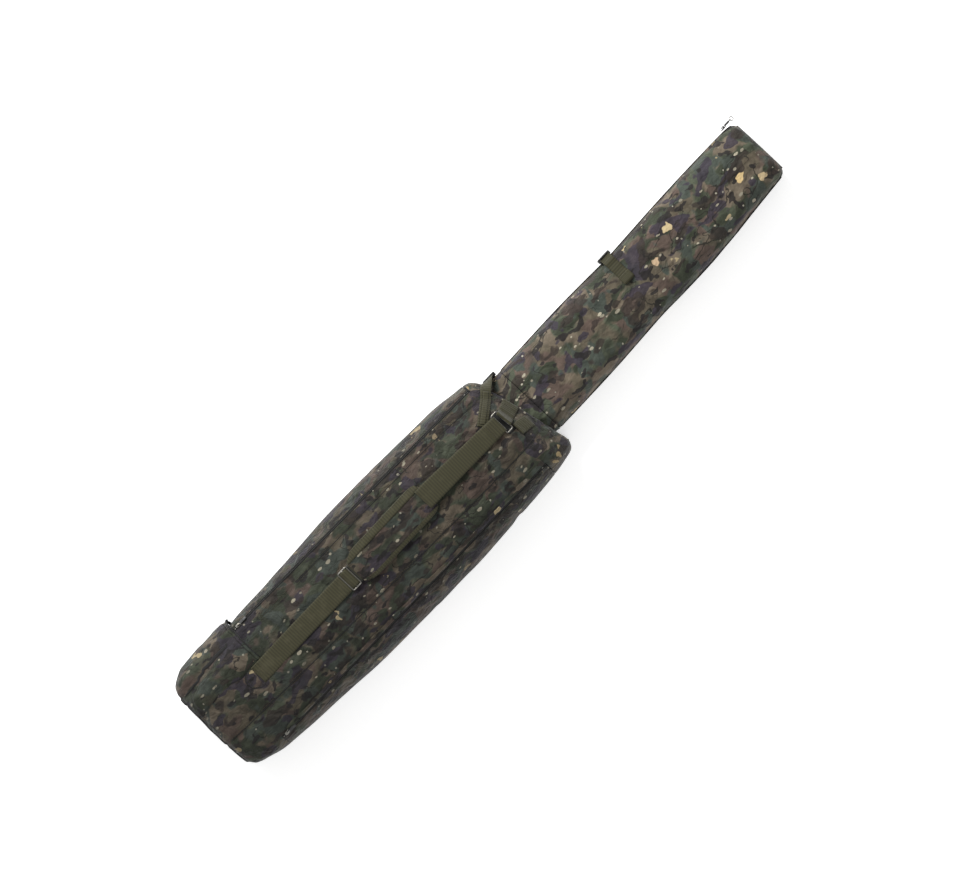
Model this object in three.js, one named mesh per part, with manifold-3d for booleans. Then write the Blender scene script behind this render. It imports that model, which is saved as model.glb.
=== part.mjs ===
// Padded rod holdall for made-up fishing rods. It lies on its back panel: +X runs from the base to the rod tips, +Z up, +Y to its left.
// Millimetres. The origin is on the underside of the back panel, halfway along the case.
import * as THREE from "three";
import { mergeVertices } from "three/addons/utils/BufferGeometryUtils.js";
import Module from "manifold-3d";
const wasm = await Module();
wasm.setup();

// Driving dimensions
const HALF = 975; // half the overall length of 1950
const BODY_END = 104; // where the wide reel section ends, on its centre line
const WALL = 7, SLEEVE_WALL = 5; // padded laminate
const ZIP_Z = 187; // height of the reel section's zip lines
const SLEEVE_ZIP_Z = 52;
const SHEAR = 0.2; // the shoulder of the reel section is cut on the skew
const LEFT = { c: 125.84, m: -0.0255 }, RIGHT = { c: -133.73, m: -0.0165 }; // zip lines in plan, y = c + m x
const HINGE_Z = 12; // the side lids fold along the foot of the side walls, the left one on y = 159.84 - 0.0255 x, the right one on y = -181.53 - 0.0165 x
const SLEEVE_LID = 137; // the sleeve's front opens from here to the tip, about z = 52 on y = -102.3 + 0.0082 x
const LID_L = [-762, 47], LID_R = [-868, 47]; // where each lid starts and ends along its line
const POCKET = [-970, -766]; // pole pocket, base end and mouth
const WEB50 = 50, WEB30 = 30; // webbing widths

// Half widths to the left (+Y) and right (-Y), and height, along X
const WL = [[-975, 128], [-970, 140], [-960, 147], [-940, 151], [-900, 154], [-782, 156], [-733, 160], [-635, 161], [-489, 165], [-391, 168.5], [-293, 166], [-195, 161], [-98, 157], [0, 151], [49, 144], [75, 141], [90, 136], [99, 127], [104, 115]];
const WR = [[-975, 104], [-970, 114], [-960, 120], [-940, 126], [-900, 138], [-830, 147], [-782, 151], [-684, 159], [-586, 168], [-440, 173], [-293, 176], [-195, 176], [-98, 173], [0, 167], [49, 162], [75, 158], [90, 153], [99, 145], [104, 134]];
const H = [[-975, 176], [-970, 188], [-960, 196], [-940, 203], [-900, 211], [-850, 214], [-500, 216], [-100, 215], [25, 212], [50, 202], [75, 178], [92, 158], [104, 140]];
const SL = [[52, 98], [110, 101], [196, 102.5], [343, 103.5], [440, 101], [516, 98.5], [588, 100], [686, 102.5], [783, 103.5], [880, 103], [940, 102], [960, 100], [970, 96], [975, 88]];
const SR = [[52, 97], [110, 99], [196, 100], [343, 99.5], [440, 96.5], [516, 94.5], [588, 96], [686, 96], [734, 93.5], [783, 91], [832, 87], [880, 83.5], [930, 80], [960, 77.5], [970, 73], [975, 65]];
const SH = [[52, 122], [110, 122], [300, 118], [440, 112], [516, 106], [588, 110], [700, 110], [850, 104], [940, 96], [960, 90], [970, 82], [975, 70]];

function lut(tab, x) {
  const n = tab.length;
  if (x <= tab[0][0]) return tab[0][1];
  if (x >= tab[n - 1][0]) return tab[n - 1][1];
  let i = 0;
  while (x > tab[i + 1][0]) i++;
  const sl = (a, b) => (tab[b][1] - tab[a][1]) / (tab[b][0] - tab[a][0]);
  const m0 = i > 0 ? sl(i - 1, i + 1) : sl(0, 1), m1 = i < n - 2 ? sl(i, i + 2) : sl(n - 2, n - 1);
  const h = tab[i + 1][0] - tab[i][0], s = (x - tab[i][0]) / h, s2 = s * s, s3 = s2 * s;
  return (2 * s3 - 3 * s2 + 1) * tab[i][1] + (s3 - 2 * s2 + s) * h * m0 + (-2 * s3 + 3 * s2) * tab[i + 1][1] + (s3 - s2) * h * m1;
}
const line = (l, x) => l.c + l.m * x;
// Catmull-Rom through control points, k pieces a span
function spline(p, k) {
  const out = [];
  for (let i = 1; i < p.length - 2; i++)
    for (let j = 0; j < k; j++) {
      const t = j / k, t2 = t * t, t3 = t2 * t;
      out.push([0, 1].map((d) => 0.5 * (2 * p[i][d] + (-p[i - 1][d] + p[i + 1][d]) * t + (2 * p[i - 1][d] - 5 * p[i][d] + 4 * p[i + 1][d] - p[i + 2][d]) * t2 + (-p[i - 1][d] + 3 * p[i][d] - 3 * p[i + 1][d] + p[i + 2][d]) * t3)));
    }
  out.push(p[p.length - 2]);
  return out;
}
// Half section of the reel body from bottom centre to top centre, as [outward y, z]
function bodyHalf(x, side, k = 2) {
  const w = lut(side > 0 ? WL : WR, x), h = lut(H, x);
  const zw = Math.min(Math.abs(line(side > 0 ? LEFT : RIGHT, x)), w - 15), zz = Math.min(ZIP_Z, 0.9 * h);
  const p = [[0.8 * w, 0], [0.9 * w, 0], [0.985 * w, 0.09 * h], [w, 0.4 * h], [zw + 0.72 * (w - zw), 0.4 * h + 0.6 * (zz - 0.4 * h)], [zw, zz], [0.5 * zw, 0.975 * h], [0, h], [-0.5 * zw, 0.975 * h]];
  return [[0, 0], ...spline(p, k)];
}
function sleeveHalf(x, side, k = 2) {
  const w = lut(side > 0 ? SL : SR, x), h = lut(SH, x);
  const p = [[0.65 * w, 0], [0.78 * w, 0], [0.95 * w, 0.12 * h], [w, 0.46 * h], [0.93 * w, 0.8 * h], [0.7 * w, 0.955 * h], [0, h], [-0.7 * w, 0.955 * h]];
  return [[0, 0], ...spline(p, k)];
}
const shearAt = (x) => { const s = Math.min(1, Math.max(0, (x + 100) / 160)); return SHEAR * s * s * (3 - 2 * s); };
// Closed ring of points at x: bottom centre, up the left side, over the top, down the right. inset shrinks it all round.
function ring(x, half, inset, shear) {
  const make = (side) => {
    const p = half(x, side), w = Math.max(...p.map((q) => q[0])), h = Math.max(...p.map((q) => q[1]));
    return p.map(([y, z]) => [side * y * (w - inset) / w, inset + z * (h - 2 * inset) / h]);
  };
  const l = make(1), r = make(-1).reverse();
  return [...l, ...r.slice(1, -1)].map(([y, z]) => new THREE.Vector3(x - (shear ? y * shearAt(x) : 0), y, z));
}
// A closed solid through rings of equal length
function loft(rings) {
  const n = rings[0].length, v = [], f = [];
  for (const r of rings) for (const p of r) v.push(p.x, p.y, p.z);
  for (let i = 0; i < rings.length - 1; i++)
    for (let j = 0; j < n; j++) {
      const a = i * n + j, b = i * n + ((j + 1) % n), c = a + n, d = b + n;
      f.push(a, c, b, b, c, d);
    }
  for (const [i, flip] of [[0, 0], [rings.length - 1, 1]]) {
    const c = new THREE.Vector3();
    rings[i].forEach((p) => c.add(p));
    c.divideScalar(n);
    const k = v.length / 3;
    v.push(c.x, c.y, c.z);
    for (let j = 0; j < n; j++) flip ? f.push(i * n + ((j + 1) % n), i * n + j, k) : f.push(i * n + j, i * n + ((j + 1) % n), k);
  }
  return new THREE.BufferGeometry().setAttribute("position", new THREE.BufferAttribute(new Float32Array(v), 3)).setIndex(f);
}
function solid(g) {
  let b = g.clone();
  b.deleteAttribute("normal");
  b.deleteAttribute("uv");
  b = mergeVertices(b, 1e-3);
  const tri = new Uint32Array(b.index.array);
  let m = new wasm.Manifold(new wasm.Mesh({ numProp: 3, vertProperties: b.attributes.position.array, triVerts: tri }));
  if (m.volume() < 0) {
    for (let i = 0; i < tri.length; i += 3) [tri[i + 1], tri[i + 2]] = [tri[i + 2], tri[i + 1]];
    m = new wasm.Manifold(new wasm.Mesh({ numProp: 3, vertProperties: b.attributes.position.array, triVerts: tri }));
  }
  return m;
}
function geometry(m) {
  const q = m.getMesh(), n = q.numProp, v = new Float32Array(q.numVert * 3);
  for (let i = 0; i < q.numVert; i++) v.set(q.vertProperties.subarray(i * n, i * n + 3), i * 3);
  const g = new THREE.BufferGeometry().setAttribute("position", new THREE.BufferAttribute(v, 3)).setIndex(new THREE.BufferAttribute(q.triVerts, 1));
  g.computeVertexNormals();
  return g;
}
const box = (x0, x1, y0, y1, z0, z1) => solid(new THREE.BoxGeometry(x1 - x0, y1 - y0, z1 - z0).translate((x0 + x1) / 2, (y0 + y1) / 2, (z0 + z1) / 2));
// Box in a frame turned to run along a zip line: u along it, v across it to +Y
function lineBox(l, u0, u1, v0, v1, z0, z1) {
  const g = new THREE.BoxGeometry(u1 - u0, v1 - v0, z1 - z0).translate((u0 + u1) / 2, (v0 + v1) / 2, (z0 + z1) / 2);
  return solid(g.rotateZ(Math.atan(l.m)).translate(0, l.c, 0));
}
// Largest piece of a cut solid, without slivers
const largest = (m) => m.decompose().sort((a, b) => b.volume() - a.volume())[0];
// Flat webbing along a path, w wide in direction side, t thick
function ribbon(path, side, w, t) {
  const P = path.map((p) => new THREE.Vector3(...p));
  const rings = P.map((p, i) => {
    const a = P[Math.max(0, i - 1)], b = P[Math.min(P.length - 1, i + 1)];
    const tan = b.clone().sub(a).normalize();
    const s = new THREE.Vector3(...(typeof side === "function" ? side(i, p) : side));
    s.addScaledVector(tan, -s.dot(tan)).normalize();
    const n = new THREE.Vector3().crossVectors(tan, s).normalize();
    return [[-1, -1], [1, -1], [1, 1], [-1, 1]].map(([e, f]) => p.clone().addScaledVector(s, e * w / 2).addScaledVector(n, f * t / 2));
  });
  return geometry(solid(loft(rings)));
}
// Height of the outside above the floor at (x, y)
function topZ(x, y, half, shear) {
  const s = y >= 0 ? 1 : -1;
  const xs = shear ? x + y * shearAt(x) : x;
  const p = half(xs, s, 6), iw = p.reduce((b, q, i) => (q[0] > p[b][0] ? i : b), 0);
  for (let i = iw; i < p.length - 1; i++)
    if (Math.abs(y) <= p[i][0] && Math.abs(y) >= p[i + 1][0]) {
      const t = (p[i][0] - Math.abs(y)) / (p[i][0] - p[i + 1][0] || 1);
      return p[i][1] + t * (p[i + 1][1] - p[i][1]);
    }
  return p[p.length - 1][1];
}

const root = new THREE.Group();
const std = (color, roughness = 0.8, metalness = 0) => new THREE.MeshStandardMaterial({ color, roughness, metalness });
const CAMO = std(0x47453c), OLIVE = std(0x413f2c), BLACK = std(0x141412, 0.55), METAL = std(0x6b6a64, 0.3, 1), LINING = std(0x1d1e1b, 0.9);
function add(name, geom, material) {
  const m = new THREE.Mesh(geom, material);
  m.name = name;
  root.add(m);
  return m;
}

// ---------- reel section ----------
const XB = [-975, -970, -960, -940, -900, -830, -733, -600, -440, -293, -195, -98, 0, 49, 75, 90, 99, 104];
const bodyOuter = solid(loft(XB.map((x) => ring(x, bodyHalf, 0, true))));
const XI = [-967, -955, -930, -900, -830, -733, -600, -440, -293, -195, -98, 0, 45, 66, 80, 90, 96];
const inner = (inset) => solid(loft(XI.map((x) => ring(x, bodyHalf, inset, true))));
const bodyInner = inner(WALL);
const shell = bodyOuter.subtract(bodyInner);
const XS = [52, 110, 196, 343, 440, 516, 588, 686, 783, 880, 940, 960, 970, 975];
const sleeveOuter = solid(loft(XS.map((x) => ring(x, sleeveHalf, 0, false))));
const sleeveInner = solid(loft([40, ...XS.slice(1, -3), 955, 968].map((x) => ring(x, sleeveHalf, SLEEVE_WALL, false))));
const sleeveHole = solid(loft([20, ...XS.slice(1, 4)].map((x) => ring(x, sleeveHalf, -0.6, false))));
const BIG = 400, BASE_X = -874;
const left = (u0, u1, v, z0, z1 = BIG) => lineBox(LEFT, u0, u1, v, BIG, z0, z1);
const right = (u0, u1, v, z0, z1 = BIG) => lineBox(RIGHT, u0, u1, -BIG, -v, z0, z1);
const leftLid = largest(shell.intersect(left(...LID_L, 2.5, HINGE_Z + 0.5)));
const rightLid = largest(shell.intersect(right(...LID_R, 2.5, HINGE_Z + 0.5)));
const trunk = box(BASE_X + 1, 48.5, -BIG, BIG, -5, BIG).subtract(left(-1100, 300, -2.5, -5)).subtract(right(-1100, 300, -2.5, -5));
const spine = largest(shell.intersect(trunk).intersect(box(-1200, BIG, -BIG, BIG, 100, BIG)));
const floorPart = trunk.intersect(box(-1200, BIG, -BIG, BIG, -5, 100)).add(left(LID_L[0], LID_L[1] + 1, -4, -5, HINGE_Z - 0.5)).add(right(LID_R[0], LID_R[1] + 1, -4, -5, HINGE_Z - 0.5));
const keel = largest(shell.intersect(floorPart));
const boot = largest(shell.intersect(box(-1000, BASE_X, -BIG, BIG, -5, BIG).add(left(-1100, LID_L[0] - 2, 0, -5))).subtract(box(BASE_X, BIG, -BIG, line(LEFT, -820) + 1, -5, 60)));
const yoke = largest(shell.intersect(box(50, BIG, -BIG, BIG, -5, BIG)).subtract(sleeveHole).subtract(box(40, BIG, -98, 100, -5, 60)));
add("base_boot", geometry(boot), CAMO);
add("back_panel", geometry(keel), CAMO);
add("spine_panel", geometry(spine), CAMO);
add("neck_yoke", geometry(yoke), CAMO);
add("left_lid", geometry(leftLid), CAMO);
add("right_lid", geometry(rightLid), CAMO);
add("divider_panel", geometry(largest(inner(WALL + 1).intersect(box(-945, 44, -4, 4, -5, BIG)))), LINING);
add("butt_pad", geometry(largest(inner(WALL + 1).intersect(box(-980, -947, -BIG, BIG, -5, BIG)))), LINING);

// hook-and-loop rod straps, sewn round the divider, one each side at each station
for (const [name, x] of [["rear", -800], ["middle", -400], ["front", -30]])
  for (const [side, s] of [["left", 1], ["right", -1]]) {
    const y = s * 6.8;
    add(`rod_strap_${side}_${name}`, ribbon([[x, y, 20], [x, y, 70], [x, y + s * 4, 100], [x, y + s * 4, 130], [x, y, 160], [x, y, 190]], [1, 0, 0], WEB30, 3), OLIVE);
  }

// ---------- tip sleeve ----------
const sleeve = sleeveOuter.subtract(sleeveInner);
const upper = box(40, 1200, -BIG, 0, SLEEVE_ZIP_Z + 0.3, BIG).add(box(40, 1200, -1, BIG, SLEEVE_ZIP_Z + 2.5, BIG));
const lower = box(40, 1200, -BIG, 0, -5, SLEEVE_ZIP_Z - 0.3).add(box(40, 1200, -1, BIG, -5, SLEEVE_ZIP_Z - 2.5));
add("sleeve_neck", geometry(largest(sleeve.intersect(box(40, SLEEVE_LID - 1, -BIG, BIG, SLEEVE_ZIP_Z + 0.3, BIG)))), CAMO);
add("sleeve_front", geometry(largest(sleeve.intersect(upper).intersect(box(SLEEVE_LID, 1200, -BIG, BIG, -5, BIG)))), CAMO);
add("sleeve_back", geometry(largest(sleeve.intersect(lower))), CAMO);
add("tip_pad", geometry(largest(solid(loft([925, 940, 955, 966].map((x) => ring(x, sleeveHalf, SLEEVE_WALL + 1, false)))).intersect(box(944, 966, -BIG, BIG, -5, BIG)))), LINING);

// ---------- zips: one coil in each gap ----------
const coil = (l, u0, u1, s) => lineBox(l, u0, u1, -2, 2, ZIP_Z - 6, ZIP_Z - 1.5);
add("zip_chain_left", geometry(coil(LEFT, -760, 42)), BLACK);
add("zip_chain_right", geometry(coil(RIGHT, -866, 42)), BLACK);
const sz = [140, 196, 343, 440, 516, 588, 686, 783, 880, 935].map((x) => [x, lut(SL, x) - 2.6, SLEEVE_ZIP_Z]);
add("zip_chain_sleeve", ribbon(sz, [0, 0, 1], 4, 4), BLACK);

// Slider with its pull: body straddles the coil, the pull hangs on a pin across it
function slider(prefix, at, out, along, tabLength, ringR) {
  // at: centre of the body; out: outward normal; along: direction that the pull lies in
  const o = new THREE.Vector3(...out).normalize(), a = new THREE.Vector3(...along).normalize(), c = new THREE.Vector3().crossVectors(o, a);
  const m = new THREE.Matrix4().makeBasis(a, c, o).setPosition(...at);
  const plate = box(-8, 8, -4.5, 4.5, 0, 2.6), bridge = box(-3.2, 4.6, -1.5, 1.5, 2.5, 7.6).subtract(box(-1.4, 1.9, -3, 3, 3.5, 6.1));
  add(`${prefix}_slider`, geometry(plate.add(bridge)).applyMatrix4(m), BLACK);
  // the bar at the tab's near end runs through the bridge's eye
  const eye = box(0.8, 6.2, -2.3, 2.3, 3, 7), far = tabLength - 3.2;
  let tab = solid(new THREE.CylinderGeometry(4.4 / Math.cos(Math.PI / 4), 3.1 / Math.cos(Math.PI / 4), tabLength + 0.8, 4, 1).rotateY(Math.PI / 4).rotateZ(Math.PI / 2).translate((tabLength - 0.8) / 2, 0, 4.8));
  tab = tab.intersect(box(-1, 60, -5, 5, 4, 5.6)).subtract(eye);
  if (ringR) tab = tab.subtract(solid(new THREE.CylinderGeometry(1.9, 1.9, 6, 12).rotateX(Math.PI / 2).translate(far - 1.9, 0, 4.8)));
  add(`${prefix}_pull`, geometry(tab).applyMatrix4(m), BLACK);
  if (ringR) add(`${prefix}_pull_ring`, new THREE.TorusGeometry(ringR, 1.1, 6, 16).rotateX(Math.PI / 2).translate(far - 1.9 + ringR, 0, 4.8).applyMatrix4(m), METAL);
}
slider("tip", [947, 105.3, SLEEVE_ZIP_Z], [0, 1, 0], [1, 0, 0], 31, 5.2);
const on = (l, u, s) => [u, line(l, u) - s * 0.8, ZIP_Z + 1.8];
const tilt = (s, a) => [0, s * Math.sin(a), Math.cos(a)];
slider("left_zip", on(LEFT, -744, 1), tilt(1, 0.35), [1, LEFT.m, 0], 27, 0);
slider("right_zip", on(RIGHT, -852, -1), tilt(-1, 0.35), [1, RIGHT.m, 0], 27, 0);

// ---------- pole pocket on the left of the base ----------
// Arc-length sampling of the body's left half between a low side point and a line on the top
function skinArc(x, z0, y1, n) {
  const p = bodyHalf(x, 1, 8), start = p.findIndex((q) => q[1] >= z0), pts = [];
  for (let i = start; i < p.length; i++) {
    if (p[i][1] > 0.8 * lut(H, x) && p[i][0] <= y1) {
      const a = p[i - 1], t = (a[0] - y1) / (a[0] - p[i][0]);
      pts.push([y1, a[1] + t * (p[i][1] - a[1])]);
      break;
    }
    pts.push(p[i]);
  }
  const cum = [0];
  for (let i = 1; i < pts.length; i++) cum.push(cum[i - 1] + Math.hypot(pts[i][0] - pts[i - 1][0], pts[i][1] - pts[i - 1][1]));
  const out = [];
  for (let k = 0; k <= n; k++) {
    const d = cum[cum.length - 1] * k / n;
    let i = 0;
    while (i < cum.length - 2 && cum[i + 1] < d) i++;
    const t = (d - cum[i]) / (cum[i + 1] - cum[i]), a = pts[i], b = pts[i + 1], L = Math.hypot(b[0] - a[0], b[1] - a[1]);
    out.push({ y: a[0] + t * (b[0] - a[0]), z: a[1] + t * (b[1] - a[1]), ny: (b[1] - a[1]) / L, nz: -(b[0] - a[0]) / L });
  }
  return out;
}
const pocketGap = (x, u) => {
  const s = Math.min(1, Math.max(0, (x - POCKET[0]) / 110)), g = 3 + 12 * s * s * (3 - 2 * s);
  return 1.8 + g * Math.sin(Math.PI * Math.min(1, u / 0.9)) ** 0.6 * (u < 0.9 ? 1 : 0);
};
function pocketRing(x, lo, hi, n = 14) {
  const arc = skinArc(x, 26, 57, n);
  const at = (q, u, d) => new THREE.Vector3(x, q.y + q.ny * (pocketGap(x, u) + d), q.z + q.nz * (pocketGap(x, u) + d));
  return [...arc.map((q, i) => at(q, i / n, hi)), ...arc.map((q, i) => at(q, i / n, lo)).reverse()];
}
function stripLoft(rings) { // like loft, with the ends closed by quads between the outer and inner run
  const n = rings[0].length, h = n / 2, v = [], f = [];
  for (const r of rings) for (const p of r) v.push(p.x, p.y, p.z);
  for (let i = 0; i < rings.length - 1; i++) for (let j = 0; j < n; j++) {
    const a = i * n + j, b = i * n + ((j + 1) % n), c = a + n, d = b + n;
    f.push(a, c, b, b, c, d);
  }
  for (const [i, flip] of [[0, 0], [rings.length - 1, 1]]) for (let j = 0; j < h - 1; j++) {
    const a = i * n + j, b = a + 1, c = i * n + (n - 1 - j), d = c - 1;
    flip ? f.push(a, c, b, b, c, d) : f.push(a, b, c, b, d, c);
  }
  return new THREE.BufferGeometry().setAttribute("position", new THREE.BufferAttribute(new Float32Array(v), 3)).setIndex(f);
}
add("pole_pocket", geometry(solid(stripLoft([-968, -950, -925, -900, -870, -830, -800, -773].map((x) => pocketRing(x, 0, 2.4))))), CAMO);
add("pocket_hem", geometry(solid(stripLoft([-772.6, -766].map((x) => pocketRing(x, -0.5, 3.2))))), BLACK);

// ---------- shoulder strap ----------
const topAt = (x, y) => topZ(x, y, bodyHalf, true);
// Lay webbing w wide on a surface: for each [x, y, clearance], tilt it to the fall of the surface and lift it over the crown
function drape(points, side, w, top) {
  return points.map(([x, y, clear], i) => {
    const [sx, sy] = side(i), k = Math.hypot(sx, sy), dx = sx / k * w / 2, dy = sy / k * w / 2;
    const a = top(x - dx, y - dy), b = top(x + dx, y + dy);
    const lift = Math.max(0, ...[-0.75, -0.5, -0.25, 0, 0.25, 0.5, 0.75].map((e) => top(x + e * dx, y + e * dy) - (a + b) / 2 - e * (b - a) / 2));
    return { p: [x, y, (a + b) / 2 + lift + clear], s: [2 * dx, 2 * dy, b - a] };
  });
}
const zA = topAt(-790, 2) + 2.2; // lower anchor
// sewn patch that holds the lower end
add("strap_patch_base", geometry(box(-832, -800, 3, 50, zA - 1.2, zA + 1.2)), CAMO);
add("strap_webbing_lower", ribbon([[-798, 26.5, zA], [-640, 26, zA + 4], [-498, 24.5, zA + 7.6], [-462, 24.5, zA + 8.6]], [0, 1, 0], WEB50, 2), OLIVE);
const frame = (w, l, t, bar) => {
  let m = box(-l / 2, l / 2, -w / 2, w / 2, 0, t);
  for (const [x0, x1] of bar ? [[-l / 2 + 3.5, -2], [2, l / 2 - 3.5]] : [[-l / 2 + 3.5, l / 2 - 3.5]]) m = m.subtract(box(x0, x1, -w / 2 + 3.5, w / 2 - 3.5, -1, t + 1));
  return geometry(m);
};
const adj = frame(58, 30, 3, true).rotateY(-0.026).translate(-477, 24.5, zA + 9.8);
add("strap_adjuster", adj, METAL);
// pad: camo face on an olive backing, ends tapering to the webbing
const padShape = (hw, inset) => {
  const s = new THREE.Shape(), x0 = -456 + inset, x1 = -203 - inset, c = 25;
  s.moveTo(x0, c - 28 + inset); s.lineTo(x0 + 26, c - hw); s.lineTo(x1 - 14, c - hw); s.lineTo(x1, c - hw + 10); s.lineTo(x1, c + hw - 10); s.lineTo(x1 - 14, c + hw); s.lineTo(x0 + 26, c + hw); s.lineTo(x0, c + 28 - inset); s.closePath();
  return s;
};
add("shoulder_pad_backing", new THREE.ExtrudeGeometry(padShape(45, 0), { depth: 5, bevelEnabled: false }).translate(0, 0, zA + 9), OLIVE);
add("shoulder_pad_face", new THREE.ExtrudeGeometry(padShape(36, 5), { depth: 5, bevelEnabled: false }).translate(0, 0, zA + 14.3), CAMO);
add("strap_webbing_upper", ribbon([[-214, 24, zA + 21.2], [-196, 23.8, zA + 20.8], [-100, 20, zA + 13], [0, 16, zA + 5.5], [36, 14.5, zA + 3.2]], [0, 1, 0], WEB50, 2), OLIVE);
add("strap_ring", frame(60, 22, 3, false).rotateY(0.1).translate(48, 13.5, zA + 1.2), METAL);
const neckA = drape([[62, 17, 4.2], [72, 20, 3.2], [85, 24, 3], [97, 28, 3]], () => [-0.1, 1], 44, topAt);
add("strap_anchor_neck", ribbon(neckA.map((q) => q.p), (i) => neckA[i].s, 44, 2), OLIVE);
const neckT = drape([[62, -26, 4.2], [74, -28, 3.2], [87, -30, 3], [99, -33, 3]], () => [-0.2, 1], 36, topAt);
add("strap_tail", ribbon(neckT.map((q) => q.p), (i) => neckT[i].s, 36, 2), OLIVE);

// ---------- retention straps with side-release buckles ----------
function buckle(prefix, x, y, z, tiltX = 0) {
  // axis along -Z: socket above, plug below; x is the middle of its width, y the middle of its thickness
  const place = new THREE.Matrix4().makeRotationX(tiltX).setPosition(x, y, z);
  let sock = box(-19, 19, -5.5, 5.5, 0, 34).subtract(box(-15.6, 15.6, -3.5, 3.5, -1, 25));
  sock = sock.subtract(box(-25, 25, -3.5, 3.5, 3, 17)).subtract(box(-15.5, 15.5, -7, 7, 28.5, 31.6));
  let plug = box(-18.5, 18.5, -5, 5, -17, -0.8).subtract(box(-15.5, 15.5, -7, 7, -14, -10.5)).subtract(box(-15.5, 15.5, -7, 7, -8, -5));
  for (const s of [-1, 1]) plug = plug.add(box(s * 12.5 - 2, s * 12.5 + 2, -2.4, 2.4, -1, 21)).add(box(s * 13.5 - 1.5, s * 13.5 + 1.5, -2.4, 2.4, 6, 14));
  plug = plug.add(box(-2, 2, -2.4, 2.4, -1, 20));
  add(`${prefix}_buckle_socket`, geometry(sock).applyMatrix4(place), BLACK);
  add(`${prefix}_buckle_plug`, geometry(plug).applyMatrix4(place), BLACK);
}
const SX = 516, sleeveTop = (y) => topZ(SX, y, sleeveHalf, false);
const sideY = lut(SL, SX);
buckle("sleeve", SX, sideY + 8, 44);
const overEdge = [[SX, 22, sleeveTop(22) + 2.6], [SX, 45, sleeveTop(45) + 2.6], [SX, 66, sleeveTop(66) + 2.8], [SX, 82, sleeveTop(82) + 3.2], [SX, 95, 94], [SX, sideY + 5, 86], [SX, sideY + 8, 78.6]];
add("sleeve_strap_upper", ribbon(overEdge, [1, 0, 0], WEB30, 1.8), OLIVE);
add("sleeve_strap_lower", ribbon([[SX, sideY + 8, 26.4], [SX, sideY + 5.5, 19], [SX, sideY - 2, 10.5], [SX, sideY - 8.5, 5.4]], [1, 0, 0], WEB30, 1.8), OLIVE);

const NX = 107, nY = lut(SL, NX);
buckle("neck", NX, nY + 8, 50);
// diagonal strap from beside the shoulder strap, over the hood, down to its buckle
const nd = drape([[8, 40, 2.4], [30, 56, 3.2], [48, 69, 3.6], [64, 81, 4.4]], () => [0.62, -0.75], 27, topAt);
const dl = [...nd.map((q) => q.p), [80, 96, 156], [93, nY + 4, 134], [103, nY + 8, 108], [NX, nY + 8, 96], [NX, nY + 8, 84.8]];
const ds = [...nd.map((q) => q.s), [0.72, -0.62, -0.15], [0.86, -0.4, -0.1], [0.97, -0.1, 0], [1, 0, 0], [1, 0, 0]];
add("neck_strap_upper", ribbon(dl, (i) => ds[i], 27, 1.8), OLIVE);
add("neck_strap_lower", ribbon([[NX, nY + 8, 32.4], [NX, nY + 5.5, 24], [NX, nY - 2, 12], [NX, nY - 8.5, 5.4]], [1, 0, 0], WEB30, 1.8), OLIVE);

export default root;
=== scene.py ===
import math

import bpy
import numpy as np
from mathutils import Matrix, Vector
from mathutils.bvhtree import BVHTree


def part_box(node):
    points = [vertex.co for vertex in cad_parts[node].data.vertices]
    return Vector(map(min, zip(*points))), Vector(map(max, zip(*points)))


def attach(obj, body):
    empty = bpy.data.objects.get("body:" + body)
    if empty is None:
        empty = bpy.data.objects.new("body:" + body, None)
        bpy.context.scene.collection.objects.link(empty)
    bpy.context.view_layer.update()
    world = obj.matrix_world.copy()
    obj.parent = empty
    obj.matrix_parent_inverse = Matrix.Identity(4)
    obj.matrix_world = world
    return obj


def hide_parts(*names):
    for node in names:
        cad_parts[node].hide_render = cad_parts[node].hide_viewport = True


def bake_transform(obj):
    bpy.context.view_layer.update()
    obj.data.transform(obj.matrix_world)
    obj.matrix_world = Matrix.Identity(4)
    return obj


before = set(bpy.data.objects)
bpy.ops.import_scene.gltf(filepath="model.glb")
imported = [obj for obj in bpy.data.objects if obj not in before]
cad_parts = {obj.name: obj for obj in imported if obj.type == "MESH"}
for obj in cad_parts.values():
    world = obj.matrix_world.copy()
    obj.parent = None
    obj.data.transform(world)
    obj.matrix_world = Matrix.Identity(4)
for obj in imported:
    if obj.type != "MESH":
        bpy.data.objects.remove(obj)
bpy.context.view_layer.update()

MM = 0.001

# ------------------------------------------------------------------ shape of the case, in millimetres
class Lut:
    """Smooth curve through (x, value) pairs."""

    def __init__(self, tab):
        a = np.array(tab, float)
        self.x, self.v = a[:, 0], a[:, 1]
        m = np.empty(len(a))
        m[1:-1] = (self.v[2:] - self.v[:-2]) / (self.x[2:] - self.x[:-2])
        m[0] = (self.v[1] - self.v[0]) / (self.x[1] - self.x[0])
        m[-1] = (self.v[-1] - self.v[-2]) / (self.x[-1] - self.x[-2])
        self.m = m

    def __call__(self, x):
        x = np.clip(x, self.x[0], self.x[-1])
        i = np.clip(np.searchsorted(self.x, x, side="right") - 1, 0, len(self.x) - 2)
        h = self.x[i + 1] - self.x[i]
        s = (x - self.x[i]) / h
        s2, s3 = s * s, s * s * s
        return (2 * s3 - 3 * s2 + 1) * self.v[i] + (s3 - 2 * s2 + s) * h * self.m[i] + (-2 * s3 + 3 * s2) * self.v[i + 1] + (s3 - s2) * h * self.m[i + 1]


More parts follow.
